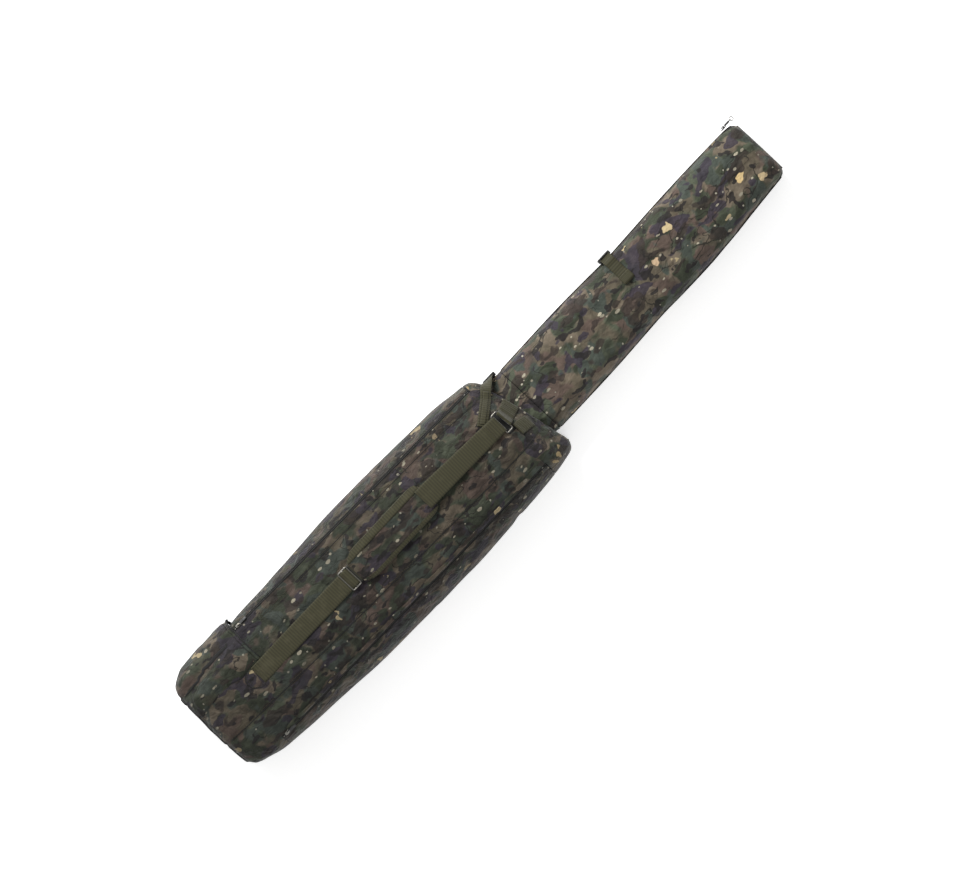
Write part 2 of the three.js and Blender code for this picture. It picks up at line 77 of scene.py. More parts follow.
WL = Lut([[-975, 128], [-970, 140], [-960, 147], [-940, 151], [-900, 154], [-782, 156], [-733, 160], [-635, 161], [-489, 165], [-391, 168.5], [-293, 166], [-195, 161], [-98, 157], [0, 151], [49, 144], [75, 141], [90, 136], [99, 127], [104, 115]])
WR = Lut([[-975, 104], [-970, 114], [-960, 120], [-940, 126], [-900, 138], [-830, 147], [-782, 151], [-684, 159], [-586, 168], [-440, 173], [-293, 176], [-195, 176], [-98, 173], [0, 167], [49, 162], [75, 158], [90, 153], [99, 145], [104, 134]])
HH = Lut([[-975, 176], [-970, 188], [-960, 196], [-940, 203], [-900, 211], [-850, 214], [-500, 216], [-100, 215], [25, 212], [50, 202], [75, 178], [92, 158], [104, 140]])
SL = Lut([[52, 98], [110, 101], [196, 102.5], [343, 103.5], [440, 101], [516, 98.5], [588, 100], [686, 102.5], [783, 103.5], [880, 103], [940, 102], [960, 100], [970, 96], [975, 88]])
SR = Lut([[52, 97], [110, 99], [196, 100], [343, 99.5], [440, 96.5], [516, 94.5], [588, 96], [686, 96], [734, 93.5], [783, 91], [832, 87], [880, 83.5], [930, 80], [960, 77.5], [970, 73], [975, 65]])
SH = Lut([[52, 122], [110, 122], [300, 118], [440, 112], [516, 106], [588, 110], [700, 110], [850, 104], [940, 96], [960, 90], [970, 82], [975, 70]])
ZIP_Z, SLEEVE_Z, HINGE_Z = 187.0, 52.0, 12.0
lineL = lambda x: 125.84 - 0.0255 * x
lineR = lambda x: -133.73 - 0.0165 * x
# sewn seams on the strap side, inside the zip lines
seamL = Lut([[-975, 113], [-610, 113], [-300, 108], [-100, 102], [15, 95], [104, 84]])
seamR = Lut([[-975, -34], [-852, -41], [-610, -52], [-400, -60], [-200, -67.5], [15, -73], [60, -72], [104, -66]])


def catmull(p, k):
    p = np.asarray(p, float)
    out = []
    for i in range(1, len(p) - 2):
        t = (np.arange(k) / k)[:, None]
        out.append(0.5 * (2 * p[i] + (-p[i - 1] + p[i + 1]) * t + (2 * p[i - 1] - 5 * p[i] + 4 * p[i + 1] - p[i + 2]) * t**2 + (-p[i - 1] + 3 * p[i] - 3 * p[i + 1] + p[i + 2]) * t**3))
    return np.vstack(out + [p[-2:-1]])


def body_half(x, side, k=10):
    w, h = float((WL if side > 0 else WR)(x)), float(HH(x))
    zw = min(abs(lineL(x) if side > 0 else lineR(x)), w - 15)
    zz = min(ZIP_Z, 0.9 * h)
    c = [[0.8 * w, 0], [0.9 * w, 0], [0.985 * w, 0.09 * h], [w, 0.4 * h], [zw + 0.72 * (w - zw), 0.4 * h + 0.6 * (zz - 0.4 * h)], [zw, zz], [0.5 * zw, 0.975 * h], [0, h], [-0.5 * zw, 0.975 * h]]
    return np.vstack([[[0, 0]], catmull(c, k)])


def sleeve_half(x, side, k=10):
    w, h = float((SL if side > 0 else SR)(x)), float(SH(x))
    c = [[0.65 * w, 0], [0.78 * w, 0], [0.95 * w, 0.12 * h], [w, 0.46 * h], [0.93 * w, 0.8 * h], [0.7 * w, 0.955 * h], [0, h], [-0.7 * w, 0.955 * h]]
    return np.vstack([[[0, 0]], catmull(c, k)])


def shear(x):
    s = np.clip((np.asarray(x, float) + 100) / 160, 0, 1)
    return 0.2 * s * s * (3 - 2 * s)


class Section:
    """One closed cross-section: bottom centre, up the left side, over the top, down the right side. Points are found by distance along it."""

    def __init__(self, x, half, inset=0.0, k=10):
        parts = []
        for side in (1, -1):
            p = half(x, side, k)
            w, h = p[:, 0].max(), p[:, 1].max()
            q = np.column_stack([side * p[:, 0] * (w - inset) / w, inset + p[:, 1] * (h - 2 * inset) / h])
            parts.append(q if side > 0 else q[::-1])
        self.x = x
        self.p = np.vstack([parts[0], parts[1][1:]])
        self.c = np.r_[0, np.cumsum(np.hypot(*np.diff(self.p, axis=0).T))]
        self.top = self.c[len(parts[0]) - 1]

    def at(self, s):
        return np.column_stack([np.interp(s, self.c, self.p[:, 0]), np.interp(s, self.c, self.p[:, 1])])

    def s_height(self, z, left=True):
        """Distance to where the wall first reaches height z."""
        m = self.c <= self.top if left else self.c >= self.top
        c, p = self.c[m], self.p[m]
        if not left:
            c, p = c[::-1], p[::-1]
        i = int(np.argmax(p[:, 1] >= z))
        if i == 0:
            return c[0]
        t = (z - p[i - 1, 1]) / (p[i, 1] - p[i - 1, 1])
        return c[i - 1] + t * (c[i] - c[i - 1])

    def s_top(self, y):
        """Distance to where the upper surface is at y."""
        m = self.p[:, 1] > 0.72 * self.p[:, 1].max()
        c, p = self.c[m], self.p[m]
        return float(np.interp(-y, -p[:, 0], c))


def hash01(i, j, k, seed):
    n = (i.astype(np.int64) * 73856093) ^ (j.astype(np.int64) * 19349663) ^ (k.astype(np.int64) * 83492791) ^ (seed * 2654435761)
    n = (n ^ (n >> 13)) * 1274126177 & 0x7FFFFFFF
    n = (n ^ (n >> 16)) * 668265263 & 0x7FFFFFFF
    return (n & 0xFFFFFF) / float(0xFFFFFF)


def vnoise(p, seed=1):
    """Smooth seeded noise in -1..1 at points p (..., 3)."""
    p = np.asarray(p, float)
    i = np.floor(p).astype(np.int64)
    f = p - i
    u = f * f * f * (f * (f * 6 - 15) + 10)
    r = 0
    for a in (0, 1):
        for b in (0, 1):
            for c in (0, 1):
                w = (u[..., 0] if a else 1 - u[..., 0]) * (u[..., 1] if b else 1 - u[..., 1]) * (u[..., 2] if c else 1 - u[..., 2])
                r = r + w * hash01(i[..., 0] + a, i[..., 1] + b, i[..., 2] + c, seed)
    return 2 * r - 1


def fbm(p, seed=1, octaves=3):
    r, a = 0, 1.0
    for o in range(octaves):
        r = r + a * vnoise(np.asarray(p) * 2**o, seed + 17 * o)
        a *= 0.5
    return r


# ------------------------------------------------------------------ mesh helpers
def mesh_object(name, verts, faces, uv=None, face_mat=None, smooth=True):
    me = bpy.data.meshes.new(name)
    me.from_pydata((np.asarray(verts) * MM).tolist(), [], [list(map(int, f)) for f in faces])
    me.validate()
    me.update()
    if smooth:
        me.polygons.foreach_set("use_smooth", [True] * len(me.polygons))
    if uv is not None:
        lay = me.uv_layers.new(name="UVMap")
        idx = np.zeros(len(me.loops), np.int32)
        me.loops.foreach_get("vertex_index", idx)
        lay.data.foreach_set("uv", (np.asarray(uv)[idx] * MM).astype(np.float32).ravel())
    if face_mat is not None:
        me.polygons.foreach_set("material_index", np.asarray(face_mat, np.int32))
    o = bpy.data.objects.new(name, me)
    bpy.context.scene.collection.objects.link(o)
    return o


def normals(P, flip=False):
    """Unit normals of a grid of points (ni, nj, 3)."""
    n = np.cross(np.gradient(P, axis=0), np.gradient(P, axis=1))
    n /= np.maximum(np.linalg.norm(n, axis=2, keepdims=True), 1e-9)
    return -n if flip else n


def grid_faces(ni, nj, mask=None):
    out = []
    for i in range(ni - 1):
        for j in range(nj - 1):
            if mask is None or mask[i, j]:
                a = i * nj + j
                out.append((a, a + 1, a + nj + 1, a + nj))
    return out


def shell(name, V_out, V_in, faces, uv, mats, crease=0.7, sub=1):
    """A closed thick sheet: faces over V_out, the same faces reversed over V_in, and a rim between them. mats: outer, inner and rim materials."""
    V_out, V_in, uv = V_out.reshape(-1, 3), V_in.reshape(-1, 3), uv.reshape(-1, 2)
    used = sorted({v for f in faces for v in f})
    new = {v: k for k, v in enumerate(used)}
    n = len(used)
    edges = {}
    for f in faces:
        for a, b in zip(f, f[1:] + f[:1]):
            edges[(a, b)] = edges.get((a, b), 0) + 1
    rim = [(a, b) for (a, b) in edges if (b, a) not in edges]
    F = [tuple(new[v] for v in f) for f in faces]
    F += [tuple(new[v] + n for v in reversed(f)) for f in faces]
    F += [(new[b], new[a], new[a] + n, new[b] + n) for a, b in rim]
    fm = [0] * len(faces) + [1] * len(faces) + [2] * len(rim)
    o = mesh_object(name, np.vstack([V_out[used], V_in[used]]), F, np.vstack([uv[used], uv[used]]), fm)
    for m in mats:
        o.data.materials.append(m)
    if crease:
        rimset = {frozenset((new[a], new[b])) for a, b in rim} | {frozenset((new[a] + n, new[b] + n)) for a, b in rim}
        at = o.data.attributes.new("crease_edge", "FLOAT", "EDGE")
        at.data.foreach_set("value", [crease if frozenset(e.vertices) in rimset else 0.0 for e in o.data.edges])
    if sub:
        s = o.modifiers.new("Subdivision", "SUBSURF")
        s.levels = s.render_levels = sub
    return o


def cloth(P, faces, pins, pressure, shrink, frames=16, bend=1.5, tension=12.0, seed=3, soft=None):
    """Blow up and wrinkle a sheet held along its seams. P (N, 3) in millimetres; returns the new points."""
    me = bpy.data.meshes.new("cloth_run")
    q = np.array(P, float)
    me.from_pydata((q * MM).tolist(), [], [list(f) for f in faces])
    me.update()
    o = bpy.data.objects.new("cloth_run", me)
    bpy.context.scene.collection.objects.link(o)
    g = o.vertex_groups.new(name="pin")
    g.add([int(i) for i in np.flatnonzero(pins)], 1.0, "REPLACE")
    if soft is not None:
        for w in np.unique(soft[soft > 0]):
            g.add([int(i) for i in np.flatnonzero((soft == w) & ~pins)], float(w), "REPLACE")
    mod = o.modifiers.new("Cloth", "CLOTH")
    s = mod.settings
    s.quality = 5
    s.mass = 0.25
    s.tension_stiffness = s.compression_stiffness = tension
    s.shear_stiffness = tension * 0.5
    s.bending_stiffness = bend
    s.tension_damping = s.compression_damping = 8
    s.bending_damping = 1.5
    s.air_damping = 3
    s.vertex_group_mass = "pin"
    s.use_pressure = pressure != 0
    s.uniform_pressure_force = pressure
    s.shrink_min = s.shrink_max = -shrink
    s.effector_weights.gravity = 0
    mod.collision_settings.use_collision = False
    mod.point_cache.frame_start, mod.point_cache.frame_end = 1, frames
    scene = bpy.context.scene
    for f in range(1, frames + 1):
        scene.frame_set(f)
    dg = bpy.context.evaluated_depsgraph_get()
    em = o.evaluated_get(dg).to_mesh()
    out = np.zeros(len(em.vertices) * 3)
    em.vertices.foreach_get("co", out)
    out = out.reshape(-1, 3) / MM
    o.evaluated_get(dg).to_mesh_clear()
    scene.frame_set(1)
    bpy.data.objects.remove(o)
    bpy.data.meshes.remove(me)
    return out


def settle(P0, P1, n, low, high, side):
    """Keep a cloth result between low and high along the normal, and within side across it."""
    d = P1 - P0
    dn = (d * n).sum(-1)
    t = d - dn[..., None] * n
    L = np.linalg.norm(t, axis=-1)
    t *= (np.minimum(L, side) / np.maximum(L, 1e-9))[..., None]
    dn = np.where(dn > high * 0.6, high * 0.6 + (high * 0.4) * np.tanh((dn - high * 0.6) / (high * 0.4)), dn)
    dn = np.maximum(dn, low)
    return P0 + t + dn[..., None] * n


def tube(name, path, r, mat, n=8, closed=False, r2=None, up=None, uvscale=1.0):
    """A round or oval cord along a path, in millimetres."""
    P = np.asarray(path, float)
    T = np.gradient(P, axis=0)
    if closed:
        T = np.roll(P, -1, 0) - np.roll(P, 1, 0)
    T /= np.linalg.norm(T, axis=1, keepdims=True)
    U = np.array(up if up is not None else [0, 0, 1.0])
    U = np.tile(U, (len(P), 1)) if U.ndim == 1 else U
    S = np.cross(T, U)
    S /= np.maximum(np.linalg.norm(S, axis=1, keepdims=True), 1e-9)
    N = np.cross(S, T)
    r2 = r if r2 is None else r2
    R = np.broadcast_to(np.asarray(r, float), (len(P),))
    R2 = np.broadcast_to(np.asarray(r2, float), (len(P),))
    a = np.arange(n) * 2 * math.pi / n
    V = P[:, None] + S[:, None] * (np.cos(a)[None, :, None] * R[:, None, None]) + N[:, None] * (np.sin(a)[None, :, None] * R2[:, None, None])
    F = []
    m = len(P)
    for i in range(m if closed else m - 1):
        for j in range(n):
            F.append((i * n + j, i * n + (j + 1) % n, ((i + 1) % m) * n + (j + 1) % n, ((i + 1) % m) * n + j))
    if not closed:
        F.append(tuple(range(n))[::-1])
        F.append(tuple((m - 1) * n + j for j in range(n)))
    L = np.r_[0, np.cumsum(np.linalg.norm(np.diff(P, axis=0), axis=1))]
    uv = np.stack([np.repeat(L[:, None], n, 1) * uvscale, np.tile(a * float(R.mean()), (m, 1))], -1)
    o = mesh_object(name, V.reshape(-1, 3), F, uv.reshape(-1, 2))
    o.data.materials.append(mat)
    return o


def band(name, path, side, w, t, mat, cols=10, crown=0.0, edge=0.75, wave=0.0, seed=5, taper=None, sub=0):
    """Flat webbing along a path with rounded selvedges. side: width direction per point. wave: gentle ripple in millimetres."""
    P = np.asarray(path, float)
    m = len(P)
    T = np.gradient(P, axis=0)
    T /= np.linalg.norm(T, axis=1, keepdims=True)
    S = np.asarray(side, float)
    S = np.tile(S, (m, 1)) if S.ndim == 1 else S
    S = S - (S * T).sum(1, keepdims=True) * T
    S /= np.linalg.norm(S, axis=1, keepdims=True)
    N = np.cross(T, S)
    N *= np.where(N[:, 2:3].mean() < 0, -1, 1)
    W = np.full(m, float(w)) if taper is None else w * np.interp(np.linspace(0, 1, m), *zip(*taper))
    L = np.r_[0, np.cumsum(np.linalg.norm(np.diff(P, axis=0), axis=1))]
    e = np.linspace(-1, 1, cols + 1)
    ripple = wave * fbm(np.stack([L / 45, L * 0, L * 0 + seed], -1), seed, 2)
    prof_t = t / 2 * np.clip(np.minimum((1 - np.abs(e)) * w / 2 / (edge * t) + 0.35, 1), 0, 1)
    top = P[:, None] + S[:, None] * (e[None, :, None] * W[:, None, None] / 2) + N[:, None] * (prof_t[None, :, None] + crown * (1 - e[None, :, None] ** 2) + ripple[:, None, None])
    bot = P[:, None] + S[:, None] * (e[None, :, None] * W[:, None, None] / 2) + N[:, None] * (-prof_t[None, :, None] + crown * (1 - e[None, :, None] ** 2) + ripple[:, None, None])
    ring = np.concatenate([top, bot[:, ::-1]], 1)
    n = ring.shape[1]
    F = []
    for i in range(m - 1):
        for j in range(n):
            F.append((i * n + j, i * n + (j + 1) % n, (i + 1) * n + (j + 1) % n, (i + 1) * n + j))
    F.append(tuple(range(n))[::-1])
    F.append(tuple((m - 1) * n + j for j in range(n)))
    u = np.concatenate([e, e[::-1]]) * w / 2
    uv = np.stack([np.repeat(L[:, None], n, 1), np.repeat(u[None], m, 0)], -1)
    o = mesh_object(name, ring.reshape(-1, 3), F, uv.reshape(-1, 2))
    fix_normals(o)
    o.data.materials.append(mat)
    return o


def fix_normals(o):
    import bmesh

    b = bmesh.new()
    b.from_mesh(o.data)
    bmesh.ops.recalc_face_normals(b, faces=b.faces)
    b.to_mesh(o.data)
    b.free()


def dense(path, step=6.0):
    """Smooth curve through points, with points about step apart."""
    p = np.asarray(path, float)
    if len(p) == 2:
        k = max(2, int(np.linalg.norm(p[1] - p[0]) / step))
        return p[0] + (p[1] - p[0]) * np.linspace(0, 1, k + 1)[:, None]
    q = np.vstack([2 * p[0] - p[1], p, 2 * p[-1] - p[-2]])
    out = []
    for i in range(1, len(q) - 2):
        k = max(1, int(np.linalg.norm(q[i + 1] - q[i]) / step))
        t = (np.arange(k) / k)[:, None]
        out.append(0.5 * (2 * q[i] + (-q[i - 1] + q[i + 1]) * t + (2 * q[i - 1] - 5 * q[i] + 4 * q[i + 1] - q[i + 2]) * t**2 + (-q[i - 1] + 3 * q[i] - 3 * q[i + 1] + q[i + 2]) * t**3))
    return np.vstack(out + [q[-2:-1]])


def bvh_of(*objs):
    dg = bpy.context.evaluated_depsgraph_get()
    V, F, k = [], [], 0
    for o in objs:
        em = o.evaluated_get(dg).to_mesh()
        c = np.zeros(len(em.vertices) * 3)
        em.vertices.foreach_get("co", c)
        V += (c.reshape(-1, 3)).tolist()
        F += [[v + k for v in p.vertices] for p in em.polygons]
        k = len(V)
        o.evaluated_get(dg).to_mesh_clear()
    return BVHTree.FromPolygons(V, F)


def drop(tree, x, y, z=300.0, d=(0, 0, -1)):
    """The surface under a point, in millimetres, and its normal."""
    hit, nor, _, _ = tree.ray_cast(Vector((x * MM, y * MM, z * MM)), Vector(d))
    if hit is None:
        return None, None
    return np.array(hit) / MM, np.array(nor)


def stitches(name, pts, nrm, mat, length=3.4, gap=1.7, r=0.42, lift=0.15, seed=9):
    """Thread stitches along a line of surface points."""
    P, N = np.asarray(pts, float), np.asarray(nrm, float)
    L = np.r_[0, np.cumsum(np.linalg.norm(np.diff(P, axis=0), axis=1))]
    s = np.arange(1.0, L[-1] - length, length + gap)
    V, F = [], []
    at = lambda t, A: np.column_stack([np.interp(t, L, A[:, k]) for k in range(3)])
    for k, f in enumerate((0, 0.2, 0.8, 1.0)):
        q = at(s + f * length, P)
        n = at(s + f * length, N)
        n /= np.linalg.norm(n, axis=1, keepdims=True)
        t = at(np.minimum(s + (f + 0.05) * length, L[-1]), P) - at(s + (f - 0.05) * length, P)
        t /= np.maximum(np.linalg.norm(t, axis=1, keepdims=True), 1e-9)
        b = np.cross(n, t)
        h = lift + (r * 0.4 if f in (0, 1.0) else r)
        w = r * (0.55 if f in (0, 1.0) else 1)
        V.append(np.stack([q + n * (h - 1.2 * r) - b * w, q + n * (h + 0.1) - b * w * 0.7, q + n * (h + 0.1) + b * w * 0.7, q + n * (h - 1.2 * r) + b * w], 1))
    V = np.stack(V, 1)  # stitch, ring, corner, xyz
    for i in range(len(s)):
        o = i * 16
        for k in range(3):
            for j in range(4):
                F.append((o + k * 4 + j, o + k * 4 + (j + 1) % 4, o + k * 4 + 4 + (j + 1) % 4, o + k * 4 + 4 + j))
        F.append((o + 3, o + 2, o + 1, o))
        F.append((o + 12, o + 13, o + 14, o + 15))
    o = mesh_object(name, V.reshape(-1, 3), F)
    fix_normals(o)
    o.data.materials.append(mat)
    return o


# ------------------------------------------------------------------ materials, all procedural
def lin(c, k=1.0):
    """sRGB 0..255 to linear RGBA."""
    out = []
    for v in c:
        v = v / 255
        out.append(min(1.0, k * (v / 12.92 if v <= 0.04045 else ((v + 0.055) / 1.055) ** 2.4)))
    return (*out, 1.0)


class Mat:
    def __init__(self, name, roughness=0.8, metallic=0.0, specular=0.3, sheen=0.0):
        self.m = bpy.data.materials.new(name)
        self.m.use_nodes = True
        self.t = self.m.node_tree
        self.t.nodes.clear()
        self.out = self.t.nodes.new("ShaderNodeOutputMaterial")
        self.b = self.t.nodes.new("ShaderNodeBsdfPrincipled")
        self.t.links.new(self.b.outputs["BSDF"], self.out.inputs["Surface"])
        self.b.inputs["Roughness"].default_value = roughness
        self.b.inputs["Metallic"].default_value = metallic
        self.b.inputs["Specular IOR Level"].default_value = specular
        if sheen:
            self.b.inputs["Sheen Weight"].default_value = sheen
            self.b.inputs["Sheen Roughness"].default_value = 0.5
        self.co = self.t.nodes.new("ShaderNodeTexCoord")

    def put(self, socket, value):
        if isinstance(value, bpy.types.NodeSocket):
            self.t.links.new(value, socket)
        else:
            socket.default_value = value

    def node(self, kind, out=0, ins=None, **props):
        n = self.t.nodes.new(kind)
        for k, v in props.items():
            setattr(n, k, v)
        for k, v in (ins or {}).items():
            self.put(n.inputs[k], v)
        return n.outputs[out]

    def math(self, op, a, b=0.0, c=0.0, clamp=False):
        return self.node("ShaderNodeMath", ins={0: a, 1: b, 2: c}, operation=op, use_clamp=clamp)

    def vec(self, op, a, b=(0, 0, 0), scale=None):
        n = self.t.nodes.new("ShaderNodeVectorMath")
        n.operation = op
        self.put(n.inputs[0], a)
        self.put(n.inputs[1], b)
        if scale is not None:
            self.put(n.inputs["Scale"], scale)
        return n.outputs["Value" if op in ("LENGTH", "DOT_PRODUCT") else "Vector"]

    def noise(self, p, scale, detail=2.0, rough=0.5, out="Fac", distortion=0.0):
        return self.node("ShaderNodeTexNoise", out, {"Vector": p, "Scale": scale, "Detail": detail, "Roughness": rough, "Distortion": distortion})

    def step(self, v, at, soft=0.01):
        return self.node("ShaderNodeMapRange", 0, {"Value": v, "From Min": at - soft, "From Max": at + soft, "To Min": 0.0, "To Max": 1.0}, interpolation_type="SMOOTHSTEP")

    def mix(self, f, a, b, blend="MIX"):
        n = self.t.nodes.new("ShaderNodeMix")
        n.data_type = "RGBA"
        n.blend_type = blend
        n.clamp_factor = True
        self.put(n.inputs[0], f)
        self.put(n.inputs[6], a)
        self.put(n.inputs[7], b)
        return n.outputs[2]

    def mapping(self, p, rot=(0, 0, 0), scale=(1, 1, 1), loc=(0, 0, 0)):
        return self.node("ShaderNodeMapping", 0, {"Vector": p, "Rotation": rot, "Scale": scale, "Location": loc})

    def bump(self, height, strength, distance, normal=None):
        ins = {"Height": height, "Strength": strength, "Distance": distance}
        if normal is not None:
            ins["Normal"] = normal
        return self.node("ShaderNodeBump", 0, ins)

    def uv_xy(self):
        s = self.t.nodes.new("ShaderNodeSeparateXYZ")
        self.t.links.new(self.co.outputs["UV"], s.inputs[0])
        return s.outputs[0], s.outputs[1]

    def wave(self, v, period, phase=0.0):
        """0..1 ripple along v, in metres."""
        return self.math("MULTIPLY_ADD", self.math("SINE", self.math("MULTIPLY_ADD", v, 2 * math.pi / period, phase)), 0.5, 0.5)

    def done(self, color=None, normal=None, roughness=None):
        if color is not None:
            self.put(self.b.inputs["Base Color"], color)
        if normal is not None:
            self.put(self.b.inputs["Normal"], normal)
        if roughness is not None:
            self.put(self.b.inputs["Roughness"], roughness)
        return self.m


K = 1.0  # overall paint level of the cloth


def camo(name, shift=(0, 0, 0), level=1.0, crumple=1.0, marks=()):
    M = Mat(name, roughness=0.78, specular=0.22, sheen=0.08)
    p = M.vec("ADD", M.co.outputs["Object"], shift)
    big = M.vec("SUBTRACT", M.noise(p, 11.0, 2.0, out="Color"), (0.5, 0.5, 0.5))
    fine = M.vec("SUBTRACT", M.noise(p, 70.0, 2.0, out="Color"), (0.5, 0.5, 0.5))
    q = M.vec("ADD", M.vec("ADD", p, M.vec("SCALE", big, scale=0.05)), M.vec("SCALE", fine, scale=0.010))

    def patch(k, scale, at, soft=0.008, rot=0.0, stretch=(1, 1, 1), detail=1.0):
        v = M.mapping(q, rot=(0.3 * k, 0.2 * k, rot), scale=stretch, loc=(1.7 * k, 3.1 * k, 0.9 * k))
        return M.step(M.noise(v, scale, detail, 0.45), at, soft)

    c = lambda r, g, b: lin((r, g * 0.965, b * 0.94), K * level)
    col = M.mix(patch(1, 10.5, 0.50, 0.05), c(92, 87, 74), c(72, 80, 66))
    col = M.mix(patch(2, 12, 0.525, 0.03, rot=0.7, stretch=(1, 1.5, 1.2)), col, c(90, 79, 72))
    col = M.mix(patch(3, 15, 0.585, 0.035, rot=-0.5, stretch=(1, 1.6, 1.2)), col, c(108, 101, 88))
    col = M.mix(patch(4, 14, 0.565, 0.03, rot=1.2, stretch=(1, 1.7, 1.3)), col, c(56, 63, 50))
    col = M.mix(patch(5, 16, 0.585, 0.03, rot=0.4, stretch=(1.5, 0.9, 1.2)), col, c(66, 75, 69))
    col = M.mix(M.math("MULTIPLY", patch(6, 15, 0.60, 0.016, rot=-0.9, stretch=(1, 1.7, 1.4)), 0.9), col, c(55, 51, 62))
    col = M.mix(M.math("MULTIPLY", patch(7, 17, 0.605, 0.02, rot=0.2, stretch=(1, 2.0, 1.5)), 0.85), col, c(52, 46, 42))
    col = M.mix(M.math("MULTIPLY", patch(8, 25, 0.635, 0.014, rot=-0.3, stretch=(1, 1.8, 1.5)), 0.9), col, c(36, 34, 34))
    # thin dark twigs
    for k, rot in ((9, 0.9), (10, -0.4)):
        v = M.mapping(q, rot=(0, 0, rot), scale=(0.55, 1.6, 1.0), loc=(k, 2 * k, 0))
        ridge = M.math("ABSOLUTE", M.math("SUBTRACT", M.noise(v, 16, 1.0), 0.5))
        thin = M.math("MULTIPLY", M.step(M.math("MULTIPLY", ridge, -1.0), -0.0075, 0.003), M.step(M.noise(v, 7, 0.0), 0.55, 0.02))
        col = M.mix(M.math("MULTIPLY", thin, 0.85), col, c(34, 33, 28))
    # soft inner shading of the print
    tone = M.node("ShaderNodeMapRange", 0, {"Value": M.noise(q, 45, 3.0), "From Min": 0.3, "From Max": 0.7, "To Min": 0.74, "To Max": 1.30})
    col = M.mix(1.0, col, M.node("ShaderNodeCombineXYZ", 0, {0: tone, 1: tone, 2: tone}), "MULTIPLY")
    # pale leaves, dots and a few lobed blotches
    lobes = M.vec("SCALE", M.vec("SUBTRACT", M.noise(p, 46.0, 1.5, out="Color"), (0.5, 0.5, 0.5)), scale=0.055)
    small = M.vec("SCALE", fine, scale=0.006)
    for k, rot, st, scale, keep, r0, r1, off, tint in (
        (11, 0.75, (1.0, 2.0, 1.1), 23.0, 0.50, 0.06, 0.19, small, (186, 178, 156)),
        (12, -0.6, (1.0, 1.7, 1.1), 27.0, 0.50, 0.06, 0.17, small, (176, 168, 148)),
        (13, 0.0, (1, 1, 1), 40.0, 0.62, 0.07, 0.13, small, (182, 176, 158)),
        (14, 0.3, (1, 1, 1), 11.5, 0.45, 0.10, 0.17, lobes, (190, 172, 134)),
    ):
        v = M.mapping(M.vec("ADD", p, off), rot=(0.2 * k, 0.1 * k, rot), scale=st, loc=(0.37 * k, 0.53 * k, 0.71 * k))
        vor = M.t.nodes.new("ShaderNodeTexVoronoi")
        vor.feature = "F1"
        M.put(vor.inputs["Vector"], v)
        M.put(vor.inputs["Scale"], scale)
        sep = M.t.nodes.new("ShaderNodeSeparateColor")
        M.t.links.new(vor.outputs["Color"], sep.inputs[0])
        radius = M.node("ShaderNodeMapRange", 0, {"Value": sep.outputs[1], "From Min": 0.0, "From Max": 1.0, "To Min": r0, "To Max": r1})
        inside = M.step(M.math("SUBTRACT", radius, vor.outputs["Distance"]), 0.0, 0.018 if k < 14 else 0.008)
        m = M.math("MULTIPLY", inside, M.math("GREATER_THAN", sep.outputs[0], keep))
        shade = M.mix(sep.outputs[2], lin(tint, K * min(level, 1.0)), lin([t * 0.76 for t in tint], K * min(level, 1.0)))
        col = M.mix(m, col, shade)
    for mx, my, mr, rgb in marks:
        d = M.vec("MULTIPLY", M.vec("SUBTRACT", M.vec("ADD", M.co.outputs["Object"], M.vec("SCALE", lobes, scale=0.62)), (mx, my, 0)), (1, 1, 0))
        col = M.mix(M.step(M.math("SUBTRACT", mr, M.vec("LENGTH", d)), 0.0, 0.0009), col, lin(rgb))
    # wear: faint dust on raised folds and overall unevenness
    dirt = M.node("ShaderNodeMapRange", 0, {"Value": M.noise(p, 6.0, 4.0, 0.6), "From Min": 0.3, "From Max": 0.7, "To Min": 0.88, "To Max": 1.08})
    col = M.mix(1.0, col, M.node("ShaderNodeCombineXYZ", 0, {0: dirt, 1: dirt, 2: dirt}), "MULTIPLY")
    # darker towards the base end and lighter towards the neck, a plain gradient along X
    sx = M.t.nodes.new("ShaderNodeSeparateXYZ")
    M.t.links.new(p, sx.inputs[0])
    foot = M.node("ShaderNodeMapRange", 0, {"Value": sx.outputs[0], "From Min": -0.95 + shift[0], "From Max": 0.1 + shift[0], "To Min": 0.80, "To Max": 1.12})
    col = M.mix(1.0, col, M.node("ShaderNodeCombineXYZ", 0, {0: foot, 1: foot, 2: foot}), "MULTIPLY")
    u, w = M.uv_xy()
    weave = M.math("MULTIPLY", M.math("ADD", M.wave(u, 0.00085), M.wave(w, 0.00085)), 0.5)
    rip = M.math("MAXIMUM", M.step(M.wave(u, 0.0055), 0.97, 0.02), M.step(M.wave(w, 0.0055), 0.97, 0.02))
    h1 = M.bump(M.math("ADD", weave, M.math("MULTIPLY", rip, 0.6)), 0.35, 0.00025)
    cr = M.math("ADD", M.noise(p, 30.0, 3.5, 0.58, distortion=1.2), M.math("MULTIPLY", M.noise(M.mapping(p, rot=(0, 0, 0.5), scale=(0.5, 1.4, 1)), 60.0, 2.0), 0.5))
    h2 = M.bump(cr, min(1.0, 0.85 * crumple), 0.010, h1)
    return M.done(col, h2, M.math("MULTIPLY_ADD", M.noise(p, 90, 2.0), 0.16, 0.70))


